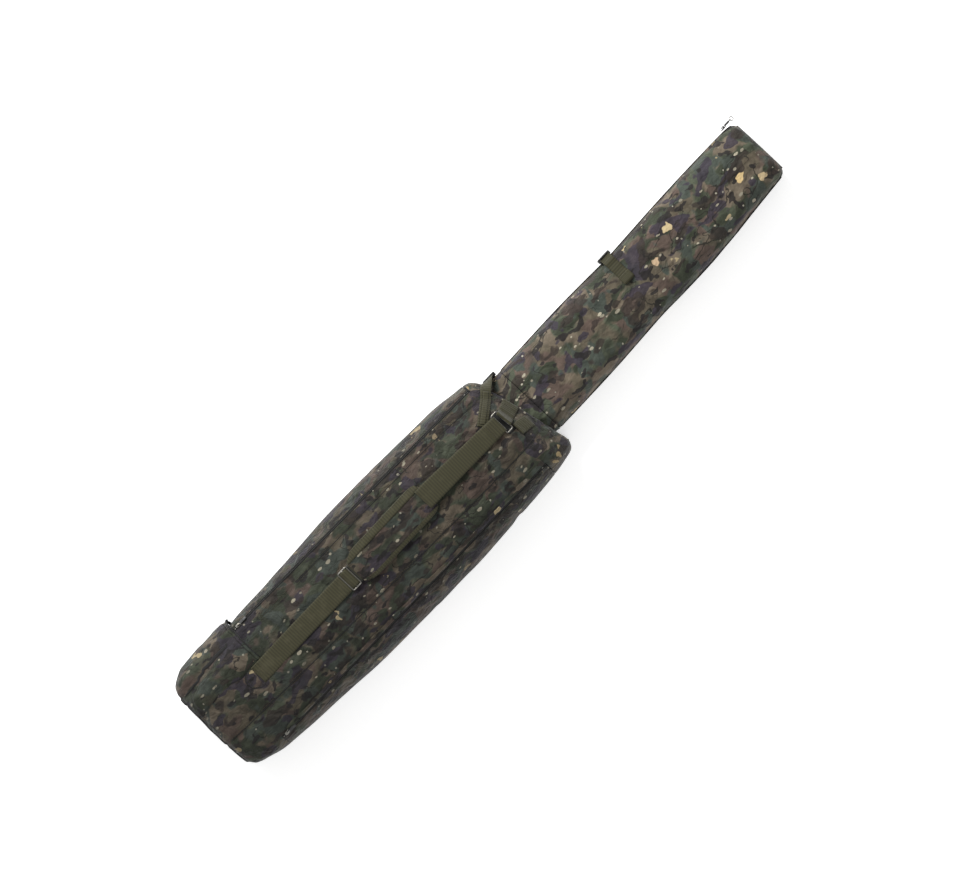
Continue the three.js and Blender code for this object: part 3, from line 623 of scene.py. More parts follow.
def webbing(name, rgb=(53, 51, 32), period=0.0068):
    M = Mat(name, roughness=0.72, specular=0.28, sheen=0.1)
    u, w = M.uv_xy()
    p = M.co.outputs["Object"]
    ribs = M.wave(u, period)
    fine = M.wave(u, 0.0016)
    cross = M.wave(w, 0.0022)
    warp = M.math("MULTIPLY", M.math("ADD", fine, M.math("MULTIPLY", cross, 0.8)), 0.5)
    base = M.mix(ribs, lin((rgb[0] * 0.86, rgb[1] * 0.86, rgb[2] * 0.82)), lin((rgb[0] * 1.10, rgb[1] * 1.10, rgb[2] * 1.10)))
    base = M.mix(M.math("MULTIPLY", warp, 0.35), base, lin((rgb[0] * 0.7, rgb[1] * 0.7, rgb[2] * 0.66)))
    wear = M.step(M.noise(p, 25, 4.0, 0.6), 0.62, 0.08)
    base = M.mix(M.math("MULTIPLY", wear, 0.22), base, lin((80, 76, 56)))
    h = M.bump(M.math("ADD", M.math("MULTIPLY", ribs, 1.0), M.math("MULTIPLY", warp, 0.45)), 0.6, 0.0007)
    return M.done(base, M.bump(M.noise(p, 30, 2.0), 0.2, 0.002, h), M.math("MULTIPLY_ADD", warp, 0.15, 0.66))


def cloth_plain(name, rgb, weave=0.0009, roughness=0.82, quilt=None):
    M = Mat(name, roughness=roughness, specular=0.25, sheen=0.06)
    p = M.co.outputs["Object"]
    u, w = M.uv_xy()
    n = M.noise(p, 14, 4.0, 0.6)
    col = M.mix(n, lin([v * 0.78 for v in rgb]), lin([min(255, v * 1.25) for v in rgb]))
    h = M.bump(M.math("ADD", M.wave(u, weave), M.wave(w, weave)), 0.4, 0.0003)
    h = M.bump(M.noise(p, 42, 3.0, 0.55, distortion=0.5), 0.45, 0.004, h)
    if quilt:
        q = M.math("MAXIMUM", M.step(M.wave(u, quilt), 0.985, 0.012), M.step(M.wave(w, quilt), 0.985, 0.012))
        h = M.bump(M.math("SUBTRACT", 1.0, q), 0.7, 0.003, h)
        col = M.mix(M.math("MULTIPLY", q, 0.5), col, lin([v * 0.5 for v in rgb]))
    return M.done(col, h, M.math("MULTIPLY_ADD", M.noise(p, 60, 2.0), 0.15, roughness - 0.08))


def zip_mat(name):
    M = Mat(name, roughness=0.5, specular=0.4)
    u, w = M.uv_xy()
    teeth = M.wave(u, 0.0018)
    col = M.mix(teeth, lin((16, 16, 15)), lin((44, 43, 40)))
    return M.done(M.mix(M.math("MULTIPLY", M.noise(M.co.outputs["Object"], 35, 3.0), 0.3), col, lin((60, 57, 50))), M.bump(M.math("ADD", teeth, M.wave(w, 0.0012)), 0.7, 0.0006), 0.5)


def plastic(name, rgb=(20, 20, 19)):
    M = Mat(name, roughness=0.42, specular=0.45)
    p = M.co.outputs["Object"]
    g = M.noise(p, 260, 3.0, 0.6)
    col = M.mix(g, lin(rgb), lin([v * 1.7 for v in rgb]))
    scuff = M.step(M.noise(M.mapping(p, scale=(1, 4, 1)), 120, 4.0, 0.65), 0.64, 0.05)
    col = M.mix(M.math("MULTIPLY", scuff, 0.25), col, lin((70, 69, 66)))
    return M.done(col, M.bump(g, 0.15, 0.0004), M.math("MULTIPLY_ADD", M.noise(p, 80, 3.0), 0.25, 0.34))


def metal(name, rgb=(120, 118, 112), rough=0.26):
    M = Mat(name, roughness=rough, metallic=1.0, specular=0.5)
    p = M.co.outputs["Object"]
    s = M.noise(M.mapping(p, scale=(1, 9, 9)), 240, 4.0, 0.6)
    col = M.mix(s, lin([v * 0.75 for v in rgb]), lin([min(255, v * 1.2) for v in rgb]))
    worn = M.step(M.noise(p, 90, 3.0, 0.6), 0.6, 0.06)
    col = M.mix(M.math("MULTIPLY", worn, 0.5), col, lin((165, 158, 140)))
    return M.done(col, M.bump(s, 0.12, 0.0003), M.math("MULTIPLY_ADD", s, 0.3, rough - 0.05))


CAMO = camo("camo_cloth", level=0.53, marks=((0.050, 0.127, 0.009, (126, 110, 80)), (0.088, -0.139, 0.008, (132, 116, 84)), (-0.089, 0.107, 0.008, (116, 103, 82)), (0.03, 0.132, 0.006, (122, 106, 76)), (0.068, -0.147, 0.006, (126, 110, 80)), (0.102, -0.128, 0.005, (120, 106, 78))))
CAMO_SLEEVE = camo("camo_cloth_sleeve", shift=(0.31, 0.17, 0.05), level=0.76, crumple=0.8, marks=((0.670, 0.041, 0.014, (176, 158, 122)), (0.883, -0.007, 0.012, (186, 162, 116)), (0.922, -0.037, 0.010, (176, 156, 122)), (0.588, 0.006, 0.009, (170, 146, 118))))
# painted shade: a darker copy of the camo for the lids' sides, the underside and the base end, so that these faces look
# shaded
CAMO_SIDE_SHADED = camo("camo_cloth_side_painted_shade", shift=(0.11, 0.43, 0.2), level=0.46)
CAMO_TRIM = camo("camo_cloth_trim", shift=(0.7, 0.25, 0.1), level=0.58, crumple=0.8)
OLIVE = webbing("olive_webbing")
OLIVE_FLAT = webbing("olive_binding", (58, 56, 37), 0.0032)
LINING = cloth_plain("black_lining", (30, 31, 29))
LINING_QUILT = cloth_plain("black_lining_quilted", (32, 33, 31), quilt=0.06)
TAPE = cloth_plain("black_tape", (20, 20, 19), weave=0.0012, roughness=0.75)
ZIP = zip_mat("zip_coil")
PLASTIC = plastic("black_acetal")
METAL = metal("dark_nickel")
BLACK_WEB = webbing("black_webbing", (26, 26, 24), 0.004)
THREAD = cloth_plain("thread", (54, 50, 38), weave=0.0005)


# ------------------------------------------------------------------ reel section: one skin, blown up between its seams
K_SEC = 12
nseg = [24, 1, 4, 18, 8, 1, 24]
LH, LE, SE, LS, RS, RE, RL, RH = [int(v) for v in np.r_[0, np.cumsum(nseg)]]
xs = np.r_[-975, -973, -969, -963, -955, np.arange(-946, 92, 9.0), 92, 98, 102, 104]


def body_row(x):
    sec = Section(x, body_half, k=K_SEC)
    n1 = len(sec.p) // 2
    i_l = 1 + 4 * K_SEC
    s_lz = sec.c[i_l]
    s_rz = sec.c[len(sec.p) - 1 - i_l]
    marks = [sec.s_height(HINGE_Z + 0.5), s_lz - 2.7, s_lz + 2.7, sec.s_top(float(seamL(x))), sec.s_top(float(seamR(x))), s_rz - 2.7, s_rz + 2.7, sec.s_height(HINGE_Z + 0.5, left=False)]
    marks[3] = max(marks[3], marks[2] + 8)
    marks[5 - 1] = min(marks[4], marks[5] - 10)
    s = np.concatenate([np.linspace(a, b, n, endpoint=False) for a, b, n in zip(marks[:-1], marks[1:], nseg)] + [[marks[-1]]])
    q = sec.at(s)
    low = np.concatenate([np.linspace(marks[-1], sec.c[-1], 7)[:-1], np.linspace(0, marks[0], 7)])
    b = sec.at(low)
    f = lambda a: np.column_stack([x - a[:, 0] * shear(x), a])
    return f(q), f(b), s


rows = [body_row(x) for x in xs]
P0 = np.stack([r[0] for r in rows])
B0 = np.stack([r[1] for r in rows])
ARC = np.stack([r[2] for r in rows])
ni, nj = P0.shape[:2]
N0 = normals(P0, flip=True)
if N0[ni // 2, (LS + RS) // 2, 2] < 0:
    N0 = -N0
faces_all = grid_faces(ni, nj)
start = P0.copy()
for j, d in ((LS, 2.4), (RS, 2.4)):
    start[:, j] -= N0[:, j] * d
pin = np.zeros((ni, nj), bool)
for j in (LH, LE, SE, LS, RS, RE, RL, RH):
    pin[:, j] = True
pin[0] = pin[-1] = True
jit = N0 * ((~pin) * fbm(P0 / 30, 11, 3) * 0.9)[..., None]
P1 = cloth((start + jit).reshape(-1, 3), faces_all, pin.ravel(), 3.5, 0.035, frames=16, bend=0.9, tension=14).reshape(ni, nj, 3)
P1 = settle(start, P1, N0, -3.0, 8.5, 4.0)
# the lids' foam keeps their outsides flatter than the strap side
d = ((P1 - P0) * N0).sum(-1)
cap = np.full(nj, 99.0)
cap[LH : LE + 1] = 3.4
cap[RL : RH + 1] = 2.6
lim = cap[None, :] * np.tanh(np.maximum(d, 0) / cap[None, :])
P1 = P1 + N0 * (np.where(d > 0, lim - d, 0))[..., None]
# broad sags and drag folds that the foam takes
amp = np.minimum(1, np.minimum.reduce([np.abs(np.arange(nj) - j) for j in (LH, LE, RL, RH)]) / 3.0)[None, :]
P1 = P1 + N0 * (amp * (fbm(np.stack([P0[..., 0] / 120, P0[..., 1] / 60, P0[..., 2] / 60], -1), 21, 2) * 1.6))[..., None]
# drag folds fanning from the neck on the strap side
dx, dy = P0[..., 0] - 104, P0[..., 1] + 60
r = np.hypot(dx, dy)
ang = np.arctan2(dy, -dx)
fan = np.sin(ang * 9 + 1.2 * vnoise(np.stack([r / 60, ang * 3, r * 0], -1), 5)) * np.exp(-((r - 70) / 60.0) ** 2) * 2.6
P1 = P1 + N0 * (amp * fan * (P0[..., 2] > 120) * np.clip((104 - P0[..., 0]) / 12, 0, 1))[..., None]

# the shoulder strap and its anchors lie on the cloth and hold it down
fx, fy = P0[..., 0], P0[..., 1]
gate = lambda v, a, b, w: np.clip((v - a) / w + 1, 0, 1) * np.clip((b - v) / w + 1, 0, 1)
under = gate(fx, -840, 104, 12) * gate(fy, -8, 58, 12)
under = np.maximum(under, gate(fx, 46, 104, 10) * gate(fy, -56, 52, 10))
under = np.maximum(under, gate(fx, -6, 86, 12) * np.clip(1 - np.abs(fy - (40 + 0.73 * (fx - 8))) / 26, 0, 1))
under = np.maximum(under, gate(fx, -466, -196, 6) * gate(fy, -22, 74, 6))
under = under * (P0[..., 2] > 120)
d = ((P1 - P0) * N0).sum(-1)
P1 = P1 + N0 * (under * (np.minimum(d, 1.2 + 0.3 * (d - 1.2)) - d) * (d > 1.2))[..., None]


def at_x(P, j, X):
    """Points of column j (may be fractional) of a grid at world X values."""
    a = int(np.clip(math.floor(j), 0, P.shape[1] - 2))
    col = P[:, a] + (P[:, a + 1] - P[:, a]) * (j - a)
    return np.column_stack([np.interp(X, col[:, 0], col[:, k]) for k in range(3)])


XE = [47.0, 48.6]
Xg = np.r_[P0[: np.searchsorted(xs, -100), nj // 2, 0]]
plane = np.sort(np.unique(np.round(np.r_[-975, -973, -969, -963, -955, np.arange(-946, 44, 9.0), -873.5, -869.3, -868.3, -763.2, -761.7, 46.6, 48.4], 3)))
keep = [plane[0]]
for v in plane[1:]:
    if v - keep[-1] < 3.0 and v not in (-873.5, -869.3, -868.3, -763.2, -761.7, 46.6, 48.4):
        continue
    keep.append(v)
plane = np.array(keep)


def regrid(P, base):
    """Rows of a sheared grid laid on planes of X up to 48.4, then blended to its skewed end."""
    n = P.shape[1]
    out = []
    tail = 9
    for j in range(n):
        col, ref = P[:, j], base[:, j]
        end = ref[-1, 0]
        X = np.r_[plane, 48.4 + (end - 48.4) * (np.arange(1, tail + 1) / tail)]
        # follow the undisturbed grid's X so that the pieces meet in planes
        out.append(np.column_stack([np.interp(X, ref[:, 0], col[:, k]) for k in range(3)]))
        out[-1][: len(plane), 0] = np.where(np.isin(plane, [-873.5, -869.3, -868.3, -763.2, -761.7, 46.6, 48.4]), plane, out[-1][: len(plane), 0])
    return np.stack(out, 1)


G = regrid(P1, P0)
G0 = regrid(P0, P0)
BG = regrid(B0, B0)
gi, gj = G.shape[:2]
NG = normals(G0)
if NG[gi // 2, (LS + RS) // 2, 2] < 0:
    NG = -NG
NB = normals(BG)
if NB[gi // 2, 6, 2] > 0:
    NB = -NB
UV = np.stack([G0[..., 0] + 1000, np.broadcast_to(np.r_[0, np.cumsum(np.linalg.norm(np.diff(G0[gi // 2], axis=0), axis=1))], (gi, gj))], -1)
row = lambda X: int(np.argmin(np.abs(plane - X)))
R_RL, R_LL, R_END = row(-868.3), row(-761.7), row(46.6)
inner = G0 - NG * 6.4
cell = np.zeros((gi - 1, gj - 1), bool)
case_mask = cell.copy()
case_mask[:, SE:RE] = True
case_mask[: row(-763.2), :SE] = True
case_mask[: row(-869.3), RE:] = True
case_mask[row(48.4) :, :] = True
o = shell("case_skin", G, inner, grid_faces(gi, gj, case_mask), UV, [CAMO, LINING, TAPE])
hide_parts("base_boot", "spine_panel", "neck_yoke")
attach(o, "case")
CASE = o
bi, bj = BG.shape[:2]
UVB = np.stack([BG[..., 0] + 1000, BG[..., 1] + 500], -1)
BGo = BG.copy()
o = shell("back_panel_skin", BGo, BG - NB * 6.4, grid_faces(bi, bj), UVB, [CAMO_SIDE_SHADED, LINING, TAPE], sub=1)
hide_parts("back_panel")
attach(o, "case")
BACK = o
for name, body, mask, node in (("left_lid_skin", "left_lid", (slice(R_LL, R_END), slice(0, LE)), "left_lid"), ("right_lid_skin", "right_lid", (slice(R_RL, R_END), slice(RL, RH)), "right_lid")):
    m = cell.copy()
    m[mask] = True
    o = shell(name, G, inner, grid_faces(gi, gj, m), UV, [CAMO_SIDE_SHADED, LINING_QUILT, TAPE])
    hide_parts(node)
    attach(o, body)
    if node == "left_lid":
        LEFT_LID = o
    else:
        RIGHT_LID = o

# black gussets behind the ends of the lids, where they part from the case
for nm, X, j0, j1 in (("neck_left", 47.7, LH, LE + 1), ("neck_right", 47.7, RL, RH), ("base_left", -762.5, LH, LE), ("base_right", -868.8, RL, RH)):
    i = row(46.6 if X > 0 else (-763.2 if X > -800 else -869.3))
    pth = G[i, j0 : j1 + 1] - NG[i, j0 : j1 + 1] * 3.2
    pth[:, 0] = X + (1.5 if X > 0 else -1.5)
    o = tube(f"gusset_{nm}", pth, 2.9, TAPE, n=8, r2=2.4, up=[1, 0, 0])
    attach(o, "case")

# base panel: the closed end, with a piped seam round it
ring0 = np.vstack([G[0], BG[0][1:-1]])
c0 = ring0.mean(0)
loops = [ring0]
for f, dx in ((0.93, -0.6), (0.80, -1.6), (0.62, -2.0), (0.42, -1.6), (0.2, -1.2)):
    w = c0 + (ring0 - c0) * f
    w[:, 0] += dx + 1.5 * fbm(w / 45, 31, 2) * (1 - f)
    loops.append(w)
V = np.vstack(loops + [[c0 + [-1.0, 0, 0]]])
n = len(ring0)
F = [(i * n + j, i * n + (j + 1) % n, (i + 1) * n + (j + 1) % n, (i + 1) * n + j) for i in range(len(loops) - 1) for j in range(n)]
F += [((len(loops) - 1) * n + j, (len(loops) - 1) * n + (j + 1) % n, len(V) - 1) for j in range(n)]
Vin = V + [7.0, 0, 0]
o = shell("base_panel", V, Vin, F, V[:, 1:3] + 500, [CAMO_SIDE_SHADED, LINING, TAPE], sub=1)
fix_normals(o)
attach(o, "case")
o = tube("base_piping", c0 + (ring0 - c0) * 1.0, 2.2, TAPE, n=6, closed=True, up=[1, 0, 0])
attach(o, "case")


# ------------------------------------------------------------------ tip sleeve
xs2 = np.r_[56, np.arange(64, 956, 8.5), 958, 964, 969, 973, 975]
NSEG2 = 34


def sleeve_row(x):
    sec = Section(x, sleeve_half, k=K_SEC)
    top = sec.at(np.linspace(sec.s_height(SLEEVE_Z + 2.6), sec.s_height(SLEEVE_Z + 0.4, left=False), NSEG2 + 1))
    a, b = sec.s_height(SLEEVE_Z - 0.4, left=False), sec.s_height(SLEEVE_Z - 2.6)
    bot = sec.at(np.concatenate([np.linspace(a, sec.c[-1], 13)[:-1], np.linspace(0, b, 14)]))
    f = lambda q: np.column_stack([np.full(len(q), x), q])
    return f(top), f(bot)


rows = [sleeve_row(x) for x in xs2]
T0, U0 = np.stack([r[0] for r in rows]), np.stack([r[1] for r in rows])


def outward(P, centre_z=55.0):
    n = normals(P)
    v = P - np.array([0, 0, 0])
    v = np.stack([np.zeros(P.shape[:2]), P[..., 1], P[..., 2] - centre_z], -1)
    return n if (n * v).sum() > 0 else -n


TN, UN = outward(T0), outward(U0)
si, sj = T0.shape[:2]
pin = np.zeros((si, sj), bool)
pin[:, 0] = pin[:, -1] = True
pin[0] = pin[-1] = True
long_folds = 1.6 * fbm(np.stack([T0[..., 0] / 170, T0[..., 1] / 34, T0[..., 2] / 50], -1), 41, 2) + 1.1 * fbm(T0 / 48, 43, 2)
T1 = cloth((T0 + TN * ((~pin) * (0.5 * long_folds))[..., None]).reshape(-1, 3), grid_faces(si, sj), pin.ravel(), 2.2, 0.022, frames=14, bend=1.6, tension=14).reshape(si, sj, 3)
T1 = settle(T0, T1, TN, -2.5, 6.0, 3.0)
T1 = T1 + TN * ((~pin) * 0.8 * long_folds)[..., None]
# the retention strap bites in a little
bite = np.exp(-(((T0[..., 0] - 516) / 20.0) ** 2)) * np.clip((T0[..., 1] + 10) / 40, 0, 1) * (~pin)
T1 = T1 - TN * (bite * 3.0)[..., None]
# puckers along the two edges where the sleeve is sewn and zipped
edge_d = np.minimum(np.arange(sj), np.arange(sj)[::-1])[None, :]
T1 = T1 + TN * (0.9 * np.sin(T0[..., 0] / 9.5 + 2.5 * vnoise(np.stack([T0[..., 0] / 60, edge_d * 0.0 + T0[..., 1] * 0, T0[..., 0] * 0], -1), 8)) * np.exp(-((edge_d - 3) / 2.5) ** 2) * (~pin))[..., None]


def closed_end(P, z, rows=4, bulge=2.0):
    """Adds the end wall: the last section folded flat onto the height z."""
    last = P[-1]
    add = []
    for k in range(1, rows + 1):
        f = 1 - k / rows
        q = last.copy()
        q[:, 2] = z + (last[:, 2] - z) * f
        q[:, 0] = last[:, 0] + bulge * math.sin(math.pi * k / rows / 2)
        add.append(q)
    return np.concatenate([P, np.stack(add)], 0)


def rows_to(P, X0, X1):
    """The rows between two X planes, with exact planes at both ends."""
    x = P[:, P.shape[1] // 2, 0]
    keep = np.flatnonzero((x > X0 + 2.5) & (x < X1 - 2.5))
    mk = lambda X: np.stack([[np.interp(X, x, P[:, j, k]) for k in range(3)] for j in range(P.shape[1])])
    out = [mk(X0)[None]] + [P[keep]]
    if X1 < 975:
        out.append(mk(X1)[None])
    else:
        out = [mk(X0)[None], P[np.flatnonzero(x > X0 + 2.5)]]
    q = np.concatenate(out, 0)
    q[0, :, 0] = X0
    if X1 < 975:
        q[-1, :, 0] = X1
    return q


def sleeve_piece(name, P, base, mats, body, nodes, thick=4.6):
    n = outward(base)
    uv = np.stack([base[..., 0], np.broadcast_to(np.r_[0, np.cumsum(np.linalg.norm(np.diff(base[len(base) // 3], axis=0), axis=1))], base.shape[:2])], -1)
    inner_ = base - n * thick
    inner_[..., 0] = np.minimum(inner_[..., 0], 969)
    o = shell(name, P, inner_, grid_faces(*P.shape[:2]), uv, mats)
    for nd in nodes:
        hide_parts(nd)
    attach(o, body)
    return o


def clean_inner(base, z, rows=4):
    return closed_end(base, z, rows)


SM = [CAMO_SLEEVE, LINING, TAPE]
NECK = sleeve_piece("sleeve_neck_skin", rows_to(T1, 56, 136), rows_to(T0, 56, 136), SM, "case", ["sleeve_neck"])
FRONT = sleeve_piece("sleeve_front_skin", closed_end(rows_to(T1, 137, 975), SLEEVE_Z + 0.5), closed_end(rows_to(T0, 137, 975), SLEEVE_Z + 0.5, bulge=0.5), SM, "sleeve_lid", ["sleeve_front"])
SBACK = sleeve_piece("sleeve_back_skin", closed_end(U0, SLEEVE_Z - 0.5), closed_end(U0, SLEEVE_Z - 0.5, bulge=0.5), SM, "case", ["sleeve_back"])


# ------------------------------------------------------------------ pole pocket at the left of the base
def pocket_grid(n=44):
    X = np.r_[-968, -964, np.arange(-957, -778, 7.0), -773.0]
    P, N, Ug, A = [], [], [], []
    for x in X:
        sec = Section(x, body_half, k=K_SEC)
        yb = np.interp(x, [-968, -790, -766], [57, 50, 49])
        a, b = sec.s_height(28), sec.s_top(yb)
        s = np.linspace(a, b, n + 1)
        q = sec.at(s)
        t = sec.at(s + 0.5) - sec.at(s - 0.5)
        t /= np.linalg.norm(t, axis=1, keepdims=True)
        nn = np.column_stack([t[:, 1], -t[:, 0]])
        P.append(np.column_stack([np.full(n + 1, x), q]))
        N.append(np.column_stack([np.zeros(n + 1), nn]))
        sc = np.interp(x, [-968, -766], [sec.s_top(120), sec.s_top(137)])
        Ug.append((s - a) / (b - a))
        A.append(np.full(n + 1, (sc - a) / (b - a)))
    return X, np.stack(P), np.stack(N), np.stack(Ug), np.stack(A)


PX, PP, PN, PU, PC = pocket_grid()
if PN[0, 5, 1] < 0:
    PN = -PN
e = np.clip((PX + 970) / 60, 0, 1)[:, None]
g_side = (6.5 + 9.5 * e * e * (3 - 2 * e)) * np.clip(np.sin(np.pi * np.clip(PU / PC, 0, 1)), 0, 1) ** 0.6
v = np.clip((PU - PC) / (1 - PC), 0, 1)
e2 = np.clip((PX + 972) / 22, 0, 1)[:, None]
g_top = (5 + 8.0 * e2) * np.clip(np.sin(np.pi * v), 0, 1) ** 0.55 * np.interp(PX, [-970, -930, -850, -766], [1.0, 1.25, 0.9, 0.45])[:, None]
crease = np.exp(-(((PU - PC) / 0.035) ** 2)) * np.interp(PX, [-968, -945, -800, -780, -766], [0.6, 1, 1, 0.6, 0.2])[:, None]
gap = 2.4 + np.where(PU < PC, g_side, g_top)
rough = fbm(np.stack([PX[:, None] / 26 + PU * 0, PU * 9, PU * 0 + 2.0], -1), 51, 3)
gap = gap + 1.6 * rough * np.clip(np.sin(np.pi * PU), 0, 1) + 1.8 * np.sin(PX[:, None] / 6.5 + 4 * rough) * np.exp(-(((PU - PC) / 0.12) ** 2)) * 0.55
gap = gap * (1 - 0.75 * crease)
gap = np.maximum(gap, 1.6)
pi_, pj_ = gap.shape
Q0 = PP + PN * gap[..., None]
pin = np.zeros((pi_, pj_), bool)
pin[:, 0] = pin[:, -1] = True
pin[0] = True
jc = int(round(float(np.argmin(np.abs(PU[pi_ // 2] - PC[pi_ // 2])))))
pin[:-4, jc] = True
soft = np.zeros((pi_, pj_))
soft[-1] = 0.6
Q1 = cloth(Q0.reshape(-1, 3), grid_faces(pi_, pj_), pin.ravel(), 2.0, 0.05, frames=14, bend=0.7, tension=12, soft=soft.ravel()).reshape(pi_, pj_, 3)
Q1 = settle(Q0, Q1, PN, -2.0, 5.0, 3.0)
d = ((Q1 - PP) * PN).sum(-1)
Q1 = Q1 + PN * np.maximum(0, 1.6 - d)[..., None]
# the fold between the two lobes stays drawn in to the wall, with softer wrinkles running off it
jj = np.arange(pj_)[None, :]
fold_x = np.interp(PX, [-968, -950, -900, -800, -778, -766], [0.5, 0.9, 1, 1, 0.75, 0.3])[:, None]
sway = 0.012 * np.sin(PX / 19.0)[:, None]
furrow = np.exp(-(((PU - PC - sway) / 0.052) ** 2)) * fold_x
side_w = np.exp(-(((PU - PC + 0.16) / 0.022) ** 2)) * np.clip(vnoise(np.stack([PX / 30, PX * 0, PX * 0 + 4], -1), 8)[:, None] * 1.5, 0, 1)
d = ((Q1 - PP) * PN).sum(-1)
Q1 = Q1 + PN * (-(d - 1.7) * 0.93 * furrow - 2.5 * side_w * (d > 4))[..., None]
UVP = np.stack([PP[..., 0] + 1000, PU * 300], -1)
o = shell("pole_pocket_skin", Q1 + PN * 1.3, Q1 - PN * 0.6, grid_faces(pi_, pj_), UVP, [CAMO_TRIM, LINING, TAPE], crease=0.5)
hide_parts("pole_pocket")
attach(o, "case")
POCKET = o
# hem: a folded band at the mouth
last = Q1[-1]
hem = [last + [0.6, 0, 0] + PN[-1] * 1.0, last + [4.5, 0, 0] + PN[-1] * 1.5, last + [8.6, 0, 0] + PN[-1] * 1.2]
hem_in = [h - PN[-1] * t for h, t in zip(hem, (2.2, 3.0, 2.4))]
hg, hi_g = np.stack(hem), np.stack(hem_in)
o = shell("pocket_hem_band", hg, hi_g, grid_faces(3, pj_), np.stack([hg[..., 0], hg[..., 1] * 2], -1), [CAMO_TRIM, TAPE, TAPE], crease=0.3)
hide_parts("pocket_hem")
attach(o, "case")
# black binding along the pocket's inner border and round its foot
edge = PP[:, -1] + PN[:, -1] * 2.3
o = tube("pocket_binding_top", edge, 2.6, TAPE, n=8, r2=1.5, up=[0, 0, 1])
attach(o, "case")
edge = PP[:, 0] + PN[:, 0] * 2.0
o = tube("pocket_binding_side", edge, 1.4, TAPE, n=8, r2=2.2, up=[0, 1, 0])
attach(o, "case")
o = tube("pocket_binding_foot", PP[0] + PN[0] * 2.2 + [-0.6, 0, 0], 1.8, TAPE, n=8, up=[1, 0, 0])
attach(o, "case")
# a black cord laid along the bottom of the fold: painted shadow of the deep crease between the lobes; and the turned
# binding of the mouth, thick at its outer corner
ci = [int(np.argmin(np.abs(PU[i] - PC[i] - sway[i, 0]))) for i in range(2, pi_ - 3)]
pth = np.array([Q1[i, c_] + PN[i, c_] * 1.0 for i, c_ in zip(range(2, pi_ - 3), ci)])
o = tube("pocket_fold_painted_shadow", pth, np.interp(np.arange(len(pth)), [0, 4, len(pth) - 7, len(pth) - 2, len(pth) - 1], [1.5, 3.4, 6.0, 5.0, 3.0]), TAPE, n=10, r2=1.8, up=[0, 0.5, 1])
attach(o, "case")
jm = np.arange(6, pj_ - 1)
u_ = PU[-1, jm]
# the binding swells into a thick black lump at the outer corner, where the fold meets the mouth: painted shade of the
# mouth's dark opening
rad = 1.1 + 4.2 * np.exp(-(((u_ - 0.64) / 0.12) ** 2))
pth = hg[2, jm] + PN[-1, jm] * 0.6 + [0.8, 0, 0]
o = tube("pocket_mouth_binding_and_shadow", pth, rad, TAPE, n=8, r2=np.minimum(rad, 2.2), up=[1, 0, 0])
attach(o, "case")


# ------------------------------------------------------------------ zips, flap and sewn seams
def put_on(o, body, slot, *nodes):
    for nd in nodes:
        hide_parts(nd)
    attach(o, body)
    return o


def strip_points(P, N, j, sign, dists, lift=0.0):
    """Points at given distances from column j of a grid, walking towards sign; (rows, len(dists), 3)."""
    out = []
    for i in range(P.shape[0]):
        cols = np.arange(j, j + sign * 10, sign)
        cols = cols[(cols >= 0) & (cols < P.shape[1])]
        p = P[i, cols]
        d = np.r_[0, np.cumsum(np.linalg.norm(np.diff(p, axis=0), axis=1))]
        n = N[i, cols]
        q = np.stack([np.column_stack([np.interp(x, d, p[:, k]) for k in range(3)])[0] if False else np.array([np.interp(x, d, p[:, k]) for k in range(3)]) for x in dists])
        m = np.stack([np.array([np.interp(x, d, n[:, k]) for k in range(3)]) for x in dists])
        L = lift if np.ndim(lift) else np.full(len(dists), lift)
        out.append(q + m * np.asarray(L)[:, None])
    return np.stack(out)


def resample(P, step):
    L = np.r_[0, np.cumsum(np.linalg.norm(np.diff(P, axis=0), axis=1))]
    s = np.arange(0, L[-1], step)
    return np.column_stack([np.interp(s, L, P[:, k]) for k in range(3)])


def coil(name, mid, up, side, body, node, half=1.15, step=1.0):
    """Two rows of interlocking moulded teeth."""
    m = resample(mid, step)
    U = np.array(up, float) / np.linalg.norm(up)
    S = np.array(side, float) / np.linalg.norm(side)
    phase = np.arange(len(m))
    first = None
    for k, s in enumerate((-1, 1)):
        r = np.where((phase + k) % 2 == 0, 1.35, 0.85)
        o = tube(f"{name}_{'ab'[k]}", m + S * (half * s), r, ZIP, n=8, up=U)
        if first is None:
            first = o
            put_on(o, body, "zip", node)
        else:
            put_on(o, body, "zip")
    return first


